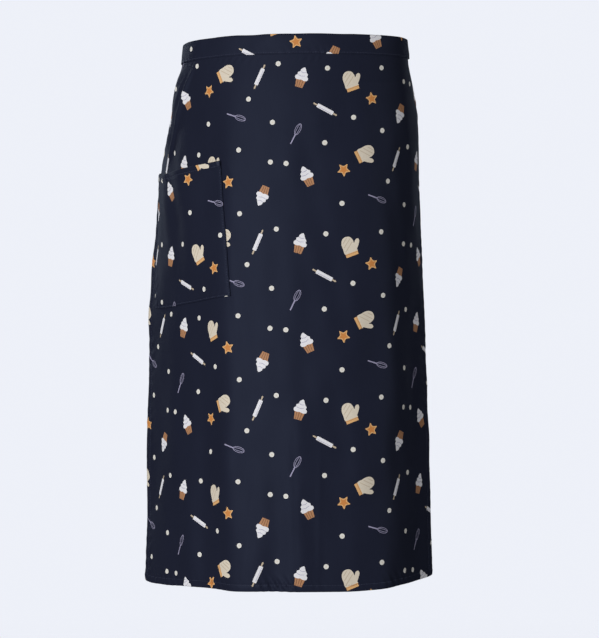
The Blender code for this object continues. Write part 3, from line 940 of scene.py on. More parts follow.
# %% A printed piece
EDGE_ROUND = 0.3
PROBE = 0.0006


def even_wall(thickness):
    """A wall that is equally thick all over."""
    return lambda flat: np.full(len(flat), thickness)


def made_mesh(name, points, faces, places, skin):
    """A smooth mesh with its materials, and the flat place of every corner for the weave."""
    mesh = bpy.data.meshes.new(name)
    mesh.from_pydata(points.tolist(), [], faces)
    for material in skin:
        mesh.materials.append(material)
    layer = mesh.uv_layers.new(name=PLACE_MAP)
    corner_points = np.zeros(len(mesh.loops), dtype=np.int32)
    mesh.loops.foreach_get("vertex_index", corner_points)
    layer.data.foreach_set("uv", places[corner_points].astype(np.float32).ravel())
    mesh.shade_smooth()
    return mesh


def put(name, mesh):
    """A new object in the scene."""
    made = bpy.data.objects.new(name, mesh)
    bpy.context.scene.collection.objects.link(made)
    return made


def triangles(made):
    """How many triangles a piece has."""
    return sum(len(face.vertices) - 2 for face in made.data.polygons)


def facing(place, flat, low, high):
    """Outward normals of a placed surface."""
    probes = ((-PROBE, 0), (PROBE, 0), (0, -PROBE), (0, PROBE))
    left, right, above, below = (place(np.clip(flat + probe, low, high), 0.0) for probe in probes)
    normals = np.cross(below - above, right - left)
    return normals / np.linalg.norm(normals, axis=1, keepdims=True)


def edge_faces(outer, ring, inner):
    """Faces that close a piece, from the front's edge over the ring to the back's edge."""
    faces = []
    for k in range(len(ring)):
        after = (k + 1) % len(ring)
        faces.append((outer[k], outer[after], ring[after], ring[k]))
        faces.append((ring[k], ring[after], inner[after], inner[k]))
    return faces


def take_normals(mesh, place, front, front_edge, low, high):
    """Normals from the form itself on the front, and the mesh's own ones elsewhere."""
    normals = np.zeros(len(mesh.vertices) * 3)
    mesh.vertex_normals.foreach_get("vector", normals)
    normals = normals.reshape(-1, 3)
    calm = np.ones(len(front), dtype=bool)
    calm[front_edge] = False
    normals[:len(front)][calm] = facing(place, front[calm], low, high)
    mesh.normals_split_custom_set_from_vertices(normals.tolist())


def cloth_piece(name, columns, rows, place, wall, outlines=(), shows_face=None, skin=None, coarse=2):
    """A closed piece of cloth. place(flat, out) gives points and wall(flat) the thickness.
    shows_face(flat) tells where a turned hem shows the cloth's face behind."""
    low = np.array([columns[0], rows[0]])
    high = np.array([columns[-1], rows[-1]])
    outline_points = [points for _, points in outlines]
    front, front_faces, topmost = triangulate(grid_points(columns, rows), outline_points)
    front_edge = edge_order(front, low, high)
    inner_columns = np.unique(np.append(columns[1:-1:coarse], columns[-2]))
    inner_rows = np.unique(np.append(rows[1:-1:coarse], rows[-2]))
    back_start = np.concatenate([front[front_edge], grid_points(inner_columns, inner_rows)])
    back, back_faces, _ = triangulate(back_start, [])
    back_edge = edge_order(back, low, high)
    thick = wall(front[front_edge])
    inset = (EDGE_ROUND * thick / 2)[:, None]
    edge_flat = np.clip(front[front_edge], low + inset, high - inset)
    front_points = place(front, 0.0)
    front_points[front_edge] = place(edge_flat, -EDGE_ROUND * thick / 2)
    back_points = place(back, -wall(back))
    back_points[back_edge] = place(edge_flat, -thick + EDGE_ROUND * thick / 2)
    ring_points = place(front[front_edge], -thick / 2)
    points = np.concatenate([front_points, back_points, ring_points])
    places = np.concatenate([front, back, front[front_edge]])
    back_faces = back_faces + len(front)
    ring = np.arange(len(front_edge)) + len(front) + len(back)
    faces = [tuple(face[::-1]) for face in front_faces] + [tuple(face) for face in back_faces]
    inks = [FIRST_INK + ink_names.index(outlines[top][0]) if top >= 0 else 0 for top in topmost]
    if shows_face:
        middles = places[back_faces].mean(axis=1)
        inks += [0 if shown else 1 for shown in shows_face(middles)]
    else:
        inks += [0] * len(back_faces)
    closing = edge_faces(front_edge, ring, back_edge + len(front))
    inks += [0] * len(closing)
    faces = [tuple(int(corner) for corner in face) for face in faces + closing]
    mesh = made_mesh(name, points, faces, places, skin or PRINTED)
    mesh.polygons.foreach_set("material_index", inks)
    take_normals(mesh, place, front, front_edge, low, high)
    return put(name, mesh)


print("materials that a printed piece carries:", len(PRINTED))

# %% [markdown]
# ## The panel
#
# The panel is the apron's body. Its sides and its lower edge are turned to the back and
# sewn, so the cloth is about twice as thick there and its edges are round. The turned
# strip shows the cloth's face on the back, while the rest of the back is the paler
# reverse. Its top edge goes up inside the waistband.

# %% The panel
TOP_OF_PANEL = BAND_WALL + SEAM_GAP
PANEL_STEP = 0.0029
FINE_BELOW_BAND = 0.016
TOP_STEPS = (0.0040, 0.0020, 0.0030)
SIDE_INSETS = (0.0016, SIDE_SEAM_INSIDE - 0.0015, SIDE_SEAM_INSIDE, SIDE_SEAM_INSIDE + 0.0015, 0.0160)
SIDE_STEPS = (0.0016, 0.0022, 0.0015, 0.0015, 0.0020)
HEM_INSETS = (0.0320, 0.0160, HEM_SEAM_INSIDE + 0.0014, HEM_SEAM_INSIDE, HEM_SEAM_INSIDE - 0.0014,
              0.0016, 0.0)
HEM_STEPS = (0.0024, 0.0018, 0.0014, 0.0014, 0.0018, 0.0016)
PANEL_PRINT_SHIFT = (0.012, 0.030)


def hem_mask(flat):
    """True where the panel is doubled by a turned hem."""
    beside = np.abs(flat[:, 0]) > HALF_WIDTH - SIDE_HEM
    below = flat[:, 1] > CLOTH_DROP - BOTTOM_HEM
    return (beside | below) & (flat[:, 1] > BAND_HEIGHT)


def panel_wall(flat):
    """Thickness of the panel."""
    return np.where(hem_mask(flat), HEM_WALL, CLOTH_WALL)


panel_columns = edged_stations(-HALF_WIDTH, HALF_WIDTH, SIDE_INSETS, SIDE_STEPS, PANEL_STEP)
panel_lines = [TOP_OF_PANEL, BAND_HEIGHT, BAND_HEIGHT + FINE_BELOW_BAND]
panel_lines += [CLOTH_DROP - inset for inset in HEM_INSETS]
panel_rows = stations(panel_lines, [*TOP_STEPS, *HEM_STEPS])
panel_print = print_over((-HALF_WIDTH, TOP_OF_PANEL), (HALF_WIDTH, CLOTH_DROP), PANEL_PRINT_SHIFT)
panel = cloth_piece("panel", panel_columns, panel_rows, on_cloth, panel_wall, panel_print, hem_mask)
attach(panel, "root")
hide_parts("skirt")
print("outlines of print:", len(panel_print), "panel triangles:", triangles(panel))

# %% [markdown]
# ## The pocket
#
# The patch pocket is cut from the same printed cloth, so its print doesn't meet the
# panel's. It lies a little aslant, as it was sewn on flat and now hangs on a turned
# panel. Its sides and lower edge are held by stitches and its mouth stands off a little.
# Its flat places run from the outer side to the inner one, the same way as the panel's.

# %% The pocket
POCKET_WIDTH = 0.170
POCKET_HEIGHT = 0.172
POCKET_MARGIN = 0.0088
POCKET_DROP = 0.158
POCKET_TILT = math.radians(5.5)
POCKET_MOUTH_HEM = 0.009
POCKET_GAPE = 0.0070
POCKET_GAP = 0.0004
POCKET_SEAM_INSIDE = 0.0022
POCKET_UNEVEN = 0.0009
POCKET_WAVES = (0.030, 0.090, 14)
MOUTH_SEAM = 0.0068
POCKET_INSETS = (0.0010, 0.0034)
POCKET_STEPS = (0.0010, 0.0012)
POCKET_STEP = 0.0024
MOUTH_LINES = (0.0, 0.0012, MOUTH_SEAM - 0.0014, MOUTH_SEAM, MOUTH_SEAM + 0.0014)
MOUTH_STEPS = (0.0012, 0.0022, 0.0014, 0.0014)
POCKET_PRINT_SHIFT = (0.050, -0.022)


def pocket_wall(flat):
    """Thickness of the pocket, double in the hem at its mouth."""
    return np.where(flat[:, 1] < POCKET_MOUTH_HEM, HEM_WALL, CLOTH_WALL)


def on_pocket(flat, out):
    """Points on the pocket's face, or out metres in front of it."""
    beside = -flat[:, 0]
    below = flat[:, 1]
    level = math.cos(POCKET_TILT)
    slant = math.sin(POCKET_TILT)
    inner_edge = HALF_WIDTH - POCKET_MARGIN - POCKET_WIDTH * level
    across = -inner_edge - beside * level + below * slant
    down = POCKET_DROP + beside * slant + below * level
    crown = 1 - (2 * beside / POCKET_WIDTH - 1) ** 2
    stand = POCKET_GAP + POCKET_GAPE * crown * (1 - (below / POCKET_HEIGHT) ** 2)
    from_mouth = below - MOUTH_SEAM
    height = seam_groove(from_mouth) + puckers("pocket mouth", beside, from_mouth, 61)
    for from_seam, along, seed in ((beside - POCKET_SEAM_INSIDE, below, 63),
                                   (POCKET_WIDTH - beside - POCKET_SEAM_INSIDE, below, 65),
                                   (POCKET_HEIGHT - below - POCKET_SEAM_INSIDE, beside, 67)):
        height = height + seam_groove(from_seam) + puckers("pocket edge", along, from_seam, seed)
    middle = crown * (1 - (below / POCKET_HEIGHT) ** 6)
    height = height + POCKET_UNEVEN * middle * soft_noise(beside, below * 0.5, *POCKET_WAVES, 69)
    return on_cloth(np.column_stack([across, down]), stand + pocket_wall(flat) + height + out)


pocket_columns = edged_stations(-POCKET_WIDTH, 0.0, POCKET_INSETS, POCKET_STEPS, POCKET_STEP)
pocket_lines = [*MOUTH_LINES, *[POCKET_HEIGHT - inset for inset in POCKET_INSETS[::-1]], POCKET_HEIGHT]
pocket_rows = stations(pocket_lines, [*MOUTH_STEPS, POCKET_STEP, *POCKET_STEPS[::-1]])
pocket_print = print_over((-POCKET_WIDTH, 0.0), (0.0, POCKET_HEIGHT), POCKET_PRINT_SHIFT)
pocket = cloth_piece("patch_pocket", pocket_columns, pocket_rows, on_pocket, pocket_wall, pocket_print,
                     lambda flat: flat[:, 1] < POCKET_MOUTH_HEM)
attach(pocket, "root")
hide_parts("pocket")
print("pocket triangles:", triangles(pocket))

# %% [markdown]
# ## The waistband
#
# The band is one strip of the printed cloth, folded over the panel's top edge. Its flat
# place runs down the front from the fold at 0, and up the back with the sign changed.
# Round the fold the strip follows half a circle.

# %% The waistband
FOLD_RADIUS = CLOTH_WALL / 2 + SEAM_GAP + BAND_WALL
HALF_FOLD = math.pi / 2 * FOLD_RADIUS
BAND_SIDE = HALF_FOLD + BAND_HEIGHT - FOLD_RADIUS
BAND_SEAM_INSIDE = 0.0022
BAND_GROOVE = 0.8
BAND_UNEVEN = 0.00030
BAND_WAVES = (0.020, 0.070, 10)
BAND_EDGE = 0.001
BAND_STEP = 0.0026
BAND_SEAM_STRIP = 0.0036
BAND_STEPS = (BAND_EDGE, 0.0050, 0.0010, BAND_STEP, 0.0012, BAND_EDGE)
BAND_PRINT_SHIFT = (0.098, 0.064)


def on_band(flat, out):
    """Points on the band's outer face, round the fold from front to back."""
    run = flat[:, 1]
    from_seam = BAND_SIDE - BAND_SEAM_INSIDE - np.abs(run)
    relief = BAND_GROOVE * seam_groove(from_seam) + puckers("band", flat[:, 0], from_seam, 71)
    relief = relief + BAND_UNEVEN * soft_noise(flat[:, 0], run, *BAND_WAVES, 73)
    reach = FOLD_RADIUS + relief + out
    angle = np.clip(run / FOLD_RADIUS, -math.pi / 2, math.pi / 2)
    beyond = np.maximum(np.abs(run) - HALF_FOLD, 0.0)
    down = FOLD_RADIUS + beyond - reach * np.cos(angle)
    return on_cloth(np.column_stack([flat[:, 0], down]), -CLOTH_WALL / 2 + reach * np.sin(angle))


band_columns = edged_stations(-HALF_WIDTH, HALF_WIDTH, (BAND_EDGE,), (BAND_EDGE,), BAND_STEP)
band_lines = [-BAND_SIDE, -BAND_SIDE + BAND_EDGE, -HALF_FOLD, HALF_FOLD, BAND_SIDE - BAND_SEAM_STRIP,
              BAND_SIDE - BAND_EDGE, BAND_SIDE]
band_rows = stations(band_lines, BAND_STEPS)
band_print = print_over((-HALF_WIDTH, -BAND_SIDE), (HALF_WIDTH, BAND_SIDE), BAND_PRINT_SHIFT)
band = cloth_piece("band", band_columns, band_rows, on_band, even_wall(BAND_WALL), band_print, coarse=1)
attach(band, "root")
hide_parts("waistband")
print("band triangles:", triangles(band))

# %% [markdown]
# ## The ties
#
# Two flat ties run from the band's ends round the back and meet in a knot, and their free
# ends hang below it. Each is a folded strip of plain cloth. A strip follows a row of
# sections, each with a middle, a direction over its width, an outward direction and a
# width. A tie leaves the band in the band's own direction and comes upright on its way.

# %% The run of the ties
TIE_HEIGHT = 0.024
TIE_WALL = 0.0016
TIE_NECK = 0.012
TIE_BEND = 0.36
TIE_UPRIGHT_BY = 0.4
TIE_NARROWS_FROM = 0.62
KNOT_WIDTH = 0.030
KNOT_HEIGHT = 0.027
KNOT_DEPTH = 0.016
TAIL_LENGTH = 0.300
TAIL_SPREAD = math.radians(4.0)
TAIL_GATHER = 0.8
TAIL_OPEN_BY = 0.3
TAIL_TWISTS_FROM = 0.1
TAIL_BOW = 0.008
TAIL_TWIST = math.radians(24.0)
STRIP_SECTIONS = 61
BEHIND_BAND_END = 0.0025
TIE_REACHES_KNOT = 0.36
TAIL_INSIDE_KNOT = 0.003
KNOT_CENTRE = np.array([0.0, WAIST_DEPTH / 2 - BAND_WALL - CLOTH_WALL, 0.0])


def unit(vectors):
    """Vectors brought to length 1."""
    return vectors / np.linalg.norm(vectors, axis=-1, keepdims=True)


def tie_sections(side):
    """Sections of a tie, from the band's end to the knot."""
    edge = np.array([[side * HALF_WIDTH, 0.0], [side * HALF_WIDTH, BAND_HEIGHT],
                     [side * (HALF_WIDTH - BEHIND_BAND_END), BAND_HEIGHT / 2]])
    top, bottom, before = on_cloth(edge, -CLOTH_WALL / 2)
    middle = (top + bottom) / 2
    first_up = unit(top - bottom)
    leaving = middle - before
    leaving = unit(leaving - first_up * leaving.dot(first_up))
    finish = KNOT_CENTRE + (side * KNOT_WIDTH * TIE_REACHES_KNOT, 0.0, 0.0)
    arriving = np.array([-side, 0.0, 0.0])
    reach = np.linalg.norm(finish - middle) * TIE_BEND
    curve = (middle, middle + leaving * reach, finish - arriving * reach, finish)
    run = interpolate_bezier(*[Vector(point) for point in curve], STRIP_SECTIONS)
    middles = np.array([tuple(point) for point in run])
    runs = unit(np.gradient(middles, axis=0))
    share = np.linspace(0.0, 1.0, STRIP_SECTIONS)
    settled = smooth_step(0.0, TIE_UPRIGHT_BY, share)[:, None]
    ups = first_up * (1 - settled) + np.array([0.0, 0.0, 1.0]) * settled
    ups = unit(ups - runs * np.sum(ups * runs, axis=1)[:, None])
    outs = unit(np.cross(runs, ups)) * side
    widths = TIE_HEIGHT + (TIE_NECK - TIE_HEIGHT) * smooth_step(TIE_NARROWS_FROM, 1.0, share)
    return middles, ups, outs, widths


def tail_sections(side):
    """Sections of a hanging end, from the knot down."""
    share = np.linspace(0.0, 1.0, STRIP_SECTIONS)
    neck = TIE_NECK * TAIL_GATHER
    widths = neck + (TIE_HEIGHT - neck) * smooth_step(0.0, TAIL_OPEN_BY, share)
    top = KNOT_CENTRE + (side * TIE_NECK / 2, 0.0, -KNOT_HEIGHT / 2 + TAIL_INSIDE_KNOT)
    fallen = np.array([side * math.sin(TAIL_SPREAD), 0.0, -math.cos(TAIL_SPREAD)])
    middles = top + fallen * (share * (TAIL_LENGTH + TAIL_INSIDE_KNOT))[:, None]
    middles[:, 0] += side * (widths - neck) / 2
    middles[:, 1] += TAIL_BOW * np.sin(math.pi * share)
    twist = side * TAIL_TWIST * smooth_step(TAIL_TWISTS_FROM, 1.0, share)
    across = np.column_stack([-np.cos(twist), -np.sin(twist), 0 * twist])
    outs = np.column_stack([-np.sin(twist), np.cos(twist), 0 * twist])
    return middles, across, outs, widths


print("the ties meet behind, at y in mm:", round(KNOT_CENTRE[1] * 1000, 1))

# %% [markdown]
# A strip's cloth is placed along these sections. Where the strip is drawn together at the
# knot it keeps its own width, so the cloth goes into small pleats. The ties' flat length
# runs across, as the band's does, and the hanging ends' flat length runs down.

# %% Strips of cloth
PLEAT_SPACING = 0.0062
PLEAT_DEPTH = 0.0016
STRIP_UNEVEN = 0.0004
STRIP_WAVES = (0.016, 0.060, 10)
TIE_SEAM_INSIDE = 0.0020
TIE_GROOVE = 0.5
TIE_INSETS = (0.0008, 0.0032)
TIE_STEPS = (0.0008, 0.0012)
TIE_STEP_ACROSS = 0.0010
TIE_EDGE = 0.001
TIE_STEP = 0.0030
SKIN = [plain_cloth]
tie_wall = even_wall(TIE_WALL)


def strip_place(sections, along_axis, sign, seed):
    """Length of a strip, and its place function, for flat places along one axis."""
    middles, sides, outs, widths = sections
    length = np.concatenate([[0.0], np.cumsum(np.linalg.norm(np.diff(middles, axis=0), axis=1))])

    def place(flat, out):
        along = sign * flat[:, along_axis]
        across = flat[:, 1 - along_axis]
        middle, side, outward = (
            np.column_stack([np.interp(along, length, part[:, axis]) for axis in range(3)])
            for part in (middles, sides, outs))
        width = np.interp(along, length, widths)
        drawn = 1 - width / TIE_HEIGHT
        relief = PLEAT_DEPTH * drawn * np.cos(across * 2 * math.pi / PLEAT_SPACING)
        relief = relief + STRIP_UNEVEN * soft_noise(along, across, *STRIP_WAVES, seed)
        for seam in (-1, 1):
            from_seam = across - seam * (TIE_HEIGHT / 2 - TIE_SEAM_INSIDE)
            relief = relief + TIE_GROOVE * seam_groove(from_seam)
        shift = across * width / TIE_HEIGHT
        if along_axis == 0:
            shift = -shift
        height = TIE_WALL / 2 + relief + out
        return middle + unit(side) * shift[:, None] + unit(outward) * height[:, None]

    return length[-1], place


over_width = edged_stations(-TIE_HEIGHT / 2, TIE_HEIGHT / 2, TIE_INSETS, TIE_STEPS, TIE_STEP_ACROSS)
strips = {}
for name, side in (("right", -1), ("left", 1)):
    length, place = strip_place(tie_sections(side), 0, side, 80 + side)
    columns = edged_stations(*sorted([0.0, side * length]), (TIE_EDGE,), (TIE_EDGE,), TIE_STEP)
    tie = cloth_piece("tie_strip_" + name, columns, over_width, place, tie_wall, skin=SKIN, coarse=1)
    strips["tie_" + name] = (tie, length, place)
    length, place = strip_place(tail_sections(side), 1, 1, 90 + side)
    rows = edged_stations(0.0, length, (TIE_EDGE,), (TIE_EDGE,), TIE_STEP)
    tail = cloth_piece("tail_strip_" + name, over_width, rows, place, tie_wall, skin=SKIN, coarse=1)
    strips["tail_" + name] = (tail, length, place)
for node, (strip, length, place) in strips.items():
    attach(strip, "root")
    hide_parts(node)
print("strips in mm:", {node: round(length * 1000) for node, (strip, length, place) in strips.items()})

# %% [markdown]
# ## The knot
#
# The knot is a soft lump of cloth with two turns of the ties laid over it, crossing each
# other. Each turn is again a strip, laid round the lump, and its ends are out of sight on
# the wearer's side.

# %% The knot
TURN_WIDTH = 0.0125
TURN_TILT = math.radians(24.0)
TURN_GOES_ROUND = math.radians(165.0)
LUMP_STEPS = 40
LUMP_SHARES = (0.50, 0.40, 0.42)
LUMP_SQUARENESS = 0.8
LUMP_FOLDS = 0.05
TURN_PLEAT_DEPTH = 0.0005
TURN_PLEAT_SPACING = 0.0042
TURN_EDGE = 0.0008
TURN_STEP = 0.0012
LUMP_PLACES = 0.012
POLE_PLACE = 1.6


def knot_lump():
    """A soft lump with shallow folds."""
    turns = np.linspace(0, 2 * math.pi, LUMP_STEPS, endpoint=False)
    heights = np.linspace(-math.pi / 2, math.pi / 2, LUMP_STEPS // 2 + 1)[1:-1]
    turn, height = np.meshgrid(turns, heights)
    level = np.cos(height)
    direction = np.stack([level * np.cos(turn), level * np.sin(turn), np.sin(height)], axis=2)
    squared = np.sign(direction) * np.abs(direction) ** LUMP_SQUARENESS
    swell = 1 + LUMP_FOLDS * np.sin(5 * turn + 3 * height) * level
    size = np.array([KNOT_WIDTH, KNOT_DEPTH, KNOT_HEIGHT]) * LUMP_SHARES
    points = (KNOT_CENTRE + squared * size * swell[:, :, None]).reshape(-1, 3)
    poles = KNOT_CENTRE + np.array([[0, 0, -1], [0, 0, 1]]) * size
    faces = []
    rows = len(heights)
    for row in range(rows - 1):
        for k in range(LUMP_STEPS):
            after = (k + 1) % LUMP_STEPS
            low = row * LUMP_STEPS
            faces.append((low + k, low + after, low + LUMP_STEPS + after, low + LUMP_STEPS + k))
    for k in range(LUMP_STEPS):
        after = (k + 1) % LUMP_STEPS
        last = (rows - 1) * LUMP_STEPS
        faces.append((len(points), after, k))
        faces.append((len(points) + 1, last + k, last + after))
    around = np.append(turn.ravel(), [0, 0])
    upward = np.append(height.ravel(), [-POLE_PLACE, POLE_PLACE])
    places = np.column_stack([around, upward]) * LUMP_PLACES
    mesh = made_mesh("knot_lump", np.concatenate([points, poles]), faces, places, SKIN)
    return put("knot_lump", mesh)


def knot_turn(name, tilt, deep):
    """One turn of a tie, laid over the lump."""
    radii = np.array([KNOT_DEPTH / 2 - TIE_WALL + deep, KNOT_HEIGHT / 2 - TIE_WALL + deep])
    length = TURN_GOES_ROUND * radii.sum()

    def place(flat, out):
        angle = -flat[:, 1] / length * 2 * TURN_GOES_ROUND
        round_out = np.column_stack([0 * angle, np.cos(angle), np.sin(angle)])
        pleats = TURN_PLEAT_DEPTH * np.cos(flat[:, 0] * 2 * math.pi / TURN_PLEAT_SPACING)
        reach = TIE_WALL + out + pleats
        local = np.column_stack([-flat[:, 0], radii[0] * np.cos(angle), radii[1] * np.sin(angle)])
        local = local + round_out * reach[:, None]
        x = local[:, 0] * math.cos(tilt) - local[:, 2] * math.sin(tilt)
        z = local[:, 0] * math.sin(tilt) + local[:, 2] * math.cos(tilt)
        return KNOT_CENTRE + np.column_stack([x, local[:, 1], z])

    across = edged_stations(-TURN_WIDTH / 2, TURN_WIDTH / 2, (TURN_EDGE,), (TURN_EDGE,),
                            TIE_STEP_ACROSS)
    along = stations([-length / 2, length / 2], [TURN_STEP])
    return cloth_piece(name, across, along, place, tie_wall, skin=SKIN, coarse=1)


lump = knot_lump()
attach(lump, "root")
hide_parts("tie_knot")
turns_over = [knot_turn("knot_turn_under", -TURN_TILT, -TIE_WALL),
              knot_turn("knot_turn_over", TURN_TILT, 0.0)]
for turn_over in turns_over:
    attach(turn_over, "root")
print("knot pieces:", [lump.name] + [turn_over.name for turn_over in turns_over])

# %% [markdown]
# ## The stitches
#
# All seams are sewn with a thread a little lighter than the cloth, which shows as a row
# of small strokes. Each stitch is a short piece of thread that comes out of the cloth and
# goes in again. A row of them follows a line of flat places, and the piece's own place
# function puts them on its surface. Bar tacks at the pocket's corners are stitches that
# lie close together across the seam.

# %% Thread
STITCH_LENGTH = 0.0027
STITCH_PITCH = 0.0033
THREAD_RADIUS = 0.00021
STITCH_RINGS = 5
STITCH_SIDES = 5
STITCH_RISE = 1.5
STITCH_SINK = 0.8
STITCH_ENDS = 0.75
ABOVE = 0.0005


def row_of_stitches(start, finish, pitch=STITCH_PITCH):
    """Flat ends of the stitches from one place to another."""
    start = np.array(start, dtype=float)
    finish = np.array(finish, dtype=float)
    length = np.linalg.norm(finish - start)
    count = max(1, int(length / pitch))
    first = start + (finish - start) * ((np.arange(count) / count)[:, None])
    step = (finish - start) / length * STITCH_LENGTH
    return np.stack([first, first + step], axis=1)


def bar_tack(x, y, width=0.0042, gap=0.00055, count=9):
    """Close short stitches, one below another."""
    downs = y + np.arange(count) * gap
    left = np.column_stack([np.full(count, x - width / 2), downs])
    right = np.column_stack([np.full(count, x + width / 2), downs + gap / 2])
    return np.stack([left, right], axis=1)


def sewn(name, rows, place):
    """One mesh of stitches on a placed surface."""
    ends = np.concatenate(rows)
    share = np.linspace(0.0, 1.0, STITCH_RINGS)
    flats = ends[:, None, 0] * (1 - share)[None, :, None] + ends[:, None, 1] * share[None, :, None]
    count = len(ends)
    flat = flats.reshape(-1, 2)
    rise = np.tile(np.sin(math.pi * share) * STITCH_RISE - STITCH_SINK, count) * THREAD_RADIUS
    centres = place(flat, rise)
    above = unit(place(flat, rise + ABOVE) - centres)
    grid = centres.reshape(count, STITCH_RINGS, 3)
    run = unit(np.gradient(grid, axis=1)).reshape(-1, 3)
    across = unit(np.cross(run, above))
    fuller = STITCH_ENDS + (1 - STITCH_ENDS) * np.sin(math.pi * share)
    radius = np.tile(THREAD_RADIUS * fuller, count)
    turns = np.linspace(0, 2 * math.pi, STITCH_SIDES, endpoint=False)
    ring = (centres[:, None, :]
            + across[:, None, :] * (np.cos(turns)[None, :, None] * radius[:, None, None])
            + above[:, None, :] * (np.sin(turns)[None, :, None] * radius[:, None, None]))
    points = ring.reshape(-1, 3)
    faces = []
    for stitch in range(count):
        base = stitch * STITCH_RINGS * STITCH_SIDES
        for k in range(STITCH_RINGS - 1):
            for side in range(STITCH_SIDES):
                after = (side + 1) % STITCH_SIDES
                low = base + k * STITCH_SIDES
                high = low + STITCH_SIDES
                faces.append((low + side, low + after, high + after, high + side))
        last = base + (STITCH_RINGS - 1) * STITCH_SIDES
        faces.append(tuple(base + side for side in reversed(range(STITCH_SIDES))))
        faces.append(tuple(last + side for side in range(STITCH_SIDES)))
    made = put(name, made_mesh(name, points, faces, np.repeat(flat, STITCH_SIDES, axis=0), [thread]))
    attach(made, "root")
    return made


print("stitches on a metre of seam:", round(1 / STITCH_PITCH))

# %% [markdown]
# The panel has three rows, the band one and the pocket four with two bar tacks. Each tie
# has a row along both edges, and each hanging end has one more across its own hem.

# %% The stitches
ROW_STARTS = 0.001
BAR_FROM_EDGE = 0.0036
BAR_FROM_MOUTH = 0.0012
TIE_SEWN = (0.01, 0.90)
TAIL_SEWN_FROM = 0.04
TAIL_HEM = 0.006

side_seam = HALF_WIDTH - SIDE_SEAM_INSIDE
hem_seam = CLOTH_DROP - HEM_SEAM_INSIDE
full_row = HALF_WIDTH - ROW_STARTS
panel_rows_sewn = [row_of_stitches((side, BAND_HEIGHT + ROW_STARTS), (side, hem_seam))
                   for side in (-side_seam, side_seam)]
panel_rows_sewn.append(row_of_stitches((-full_row, hem_seam), (full_row, hem_seam)))
band_seam = BAND_SIDE - BAND_SEAM_INSIDE
band_rows_sewn = [row_of_stitches((-full_row, band_seam), (full_row, band_seam))]
inner = -POCKET_SEAM_INSIDE
outer = -POCKET_WIDTH + POCKET_SEAM_INSIDE
lower = POCKET_HEIGHT - POCKET_SEAM_INSIDE
pocket_rows_sewn = [
    row_of_stitches((inner, ROW_STARTS), (inner, lower)),
    row_of_stitches((inner, lower), (outer, lower)),
    row_of_stitches((outer, lower), (outer, ROW_STARTS)),
    row_of_stitches((-ROW_STARTS, MOUTH_SEAM), (-POCKET_WIDTH + ROW_STARTS, MOUTH_SEAM)),
    bar_tack(-BAR_FROM_EDGE, BAR_FROM_MOUTH),
    bar_tack(-POCKET_WIDTH + BAR_FROM_EDGE, BAR_FROM_MOUTH),
]
panel_stitches = sewn("panel_stitches", panel_rows_sewn, on_cloth)
band_stitches = sewn("band_stitches", band_rows_sewn, on_band)
pocket_stitches = sewn("pocket_stitches", pocket_rows_sewn, on_pocket)
beside = TIE_HEIGHT / 2 - TIE_SEAM_INSIDE
for node, (strip, length, place) in strips.items():
    if node.startswith("tie"):
        near, far = (end * length * (1 if node.endswith("left") else -1) for end in TIE_SEWN)
        rows = [row_of_stitches((near, edge * beside), (far, edge * beside)) for edge in (-1, 1)]
    else:
        near = length * TAIL_SEWN_FROM
        far = length - TIE_SEAM_INSIDE
        rows = [row_of_stitches((edge * beside, near), (edge * beside, far)) for edge in (-1, 1)]
        rows.append(row_of_stitches((-beside, length - TAIL_HEM), (beside, length - TAIL_HEM)))
    sewn(node + "_stitches", rows, place)

# %% [markdown]
# ## Floor, background and light
#
# The apron is held up as a waist would hold it, about a metre above a pale floor. The
# floor fades into the background, so no horizon crosses the picture. The world lights
# the cloth weakly, but the camera sees it bright, which keeps dark cloth dark in front
# of a pale background.

# %% Floor and background
BACKDROP = (0.852, 0.875, 0.942, 1.0)
WORLD_FILL = 0.075
FLOOR_COLOUR = (0.20, 0.21, 0.22, 1.0)
FLOOR_HEIGHT = -1.050
FLOOR_RADIUS = 3.0
FLOOR_CLEAR = 1.0
FLOOR_GLOW = 0.88


def make_floor():
    """A pale round floor that fades out towards its rim."""
    bpy.ops.mesh.primitive_circle_add(vertices=96, radius=FLOOR_RADIUS, fill_type="NGON",
                                      location=(0, 0, FLOOR_HEIGHT))
    floor = bpy.context.object
    floor.name = "floor"
    material = bpy.data.materials.new("pale_floor")
    material.use_nodes = True
    tree = material.node_tree
    shader = tree.nodes["Principled BSDF"]
    shader.inputs["Base Color"].default_value = FLOOR_COLOUR
    shader.inputs["Roughness"].default_value = 1.0
    shader.inputs["Specular IOR Level"].default_value = 0.0
    shader.inputs["Emission Color"].default_value = BACKDROP
    path = tree.nodes.new("ShaderNodeLightPath")
    glow = calc(tree, "MULTIPLY", path.outputs["Is Camera Ray"], FLOOR_GLOW)
    tree.links.new(glow, shader.inputs["Emission Strength"])
    place = tree.nodes.new("ShaderNodeTexCoord")
    away = tree.nodes.new("ShaderNodeVectorMath")
    away.operation = "LENGTH"
    tree.links.new(place.outputs["Object"], away.inputs[0])
    fade = tree.nodes.new("ShaderNodeMapRange")
    fade.interpolation_type = "SMOOTHSTEP"
    fade.inputs["From Min"].default_value = FLOOR_CLEAR
    fade.inputs["From Max"].default_value = FLOOR_RADIUS
    fade.inputs["To Min"].default_value = 1.0
    fade.inputs["To Max"].default_value = 0.0
    tree.links.new(away.outputs["Value"], fade.inputs["Value"])
    tree.links.new(fade.outputs[0], shader.inputs["Alpha"])
    floor.data.materials.append(material)


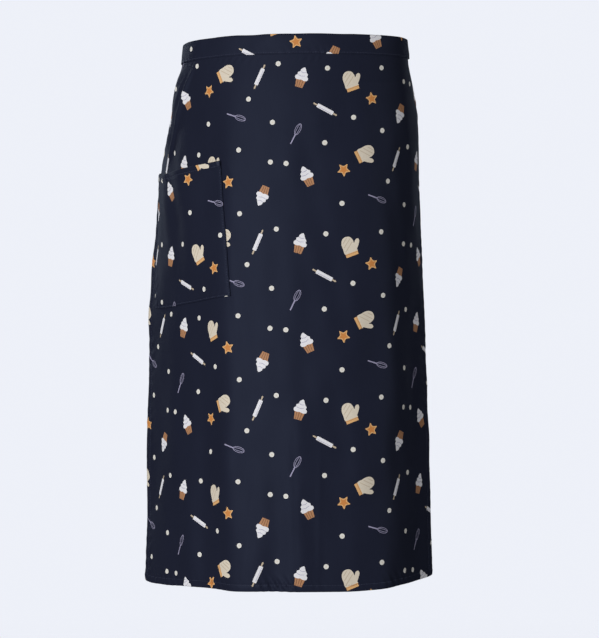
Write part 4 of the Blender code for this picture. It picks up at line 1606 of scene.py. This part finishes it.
def make_world():
    """A pale background for the camera, and a weak even light for everything else."""
    world = bpy.data.worlds.new("studio")
    bpy.context.scene.world = world
    world.use_nodes = True
    tree = world.node_tree
    seen = tree.nodes["Background"]
    seen.inputs["Color"].default_value = BACKDROP
    seen.inputs["Strength"].default_value = 1.0
    lit = tree.nodes.new("ShaderNodeBackground")
    lit.inputs["Color"].default_value = BACKDROP
    lit.inputs["Strength"].default_value = WORLD_FILL
    chooser = tree.nodes.new("ShaderNodeMixShader")
    path = tree.nodes.new("ShaderNodeLightPath")
    tree.links.new(path.outputs["Is Camera Ray"], chooser.inputs[0])
    tree.links.new(lit.outputs[0], chooser.inputs[1])
    tree.links.new(seen.outputs[0], chooser.inputs[2])
    tree.links.new(chooser.outputs[0], tree.nodes["World Output"].inputs["Surface"])


make_floor()
make_world()

# %% [markdown]
# The main light is one big soft box in front, to the left of the camera. Two cool ones
# behind the apron, one on each side, draw a thin light edge along the cloth, and a weak
# one on the right keeps that side from going black. Each is a square area light, because
# a wide source gives the soft shading that shows low folds.

# %% Light
SKYLIGHT = (0.74, 0.85, 1.0)


def soft_box(name, turn_deg, height, distance, size, power, colour=(1.0, 1.0, 1.0)):
    """A square area light that looks at the middle of the apron."""
    data = bpy.data.lights.new(name, "AREA")
    data.color = colour
    data.shape = "SQUARE"
    data.size = size
    data.energy = power
    lamp = bpy.data.objects.new(name, data)
    bpy.context.scene.collection.objects.link(lamp)
    turn = math.radians(turn_deg)
    lamp.location = (math.sin(turn) * distance, -math.cos(turn) * distance, CAMERA_HEIGHT + height)
    middle = Vector((0.0, 0.0, CAMERA_HEIGHT))
    lamp.rotation_euler = (lamp.location - middle).to_track_quat("Z", "Y").to_euler()
    lamp.visible_camera = False


bpy.context.scene.view_settings.view_transform = "Standard"
soft_box("key", -20.0, 0.25, 3.4, 0.9, 102.0)
soft_box("left_edge", -134.0, 0.80, 2.6, 0.8, 24.0, SKYLIGHT)
soft_box("right_edge", 165.0, 0.60, 2.6, 0.8, 8.0, SKYLIGHT)
soft_box("right_fill", 80.0, 0.20, 2.6, 1.2, 16.0)
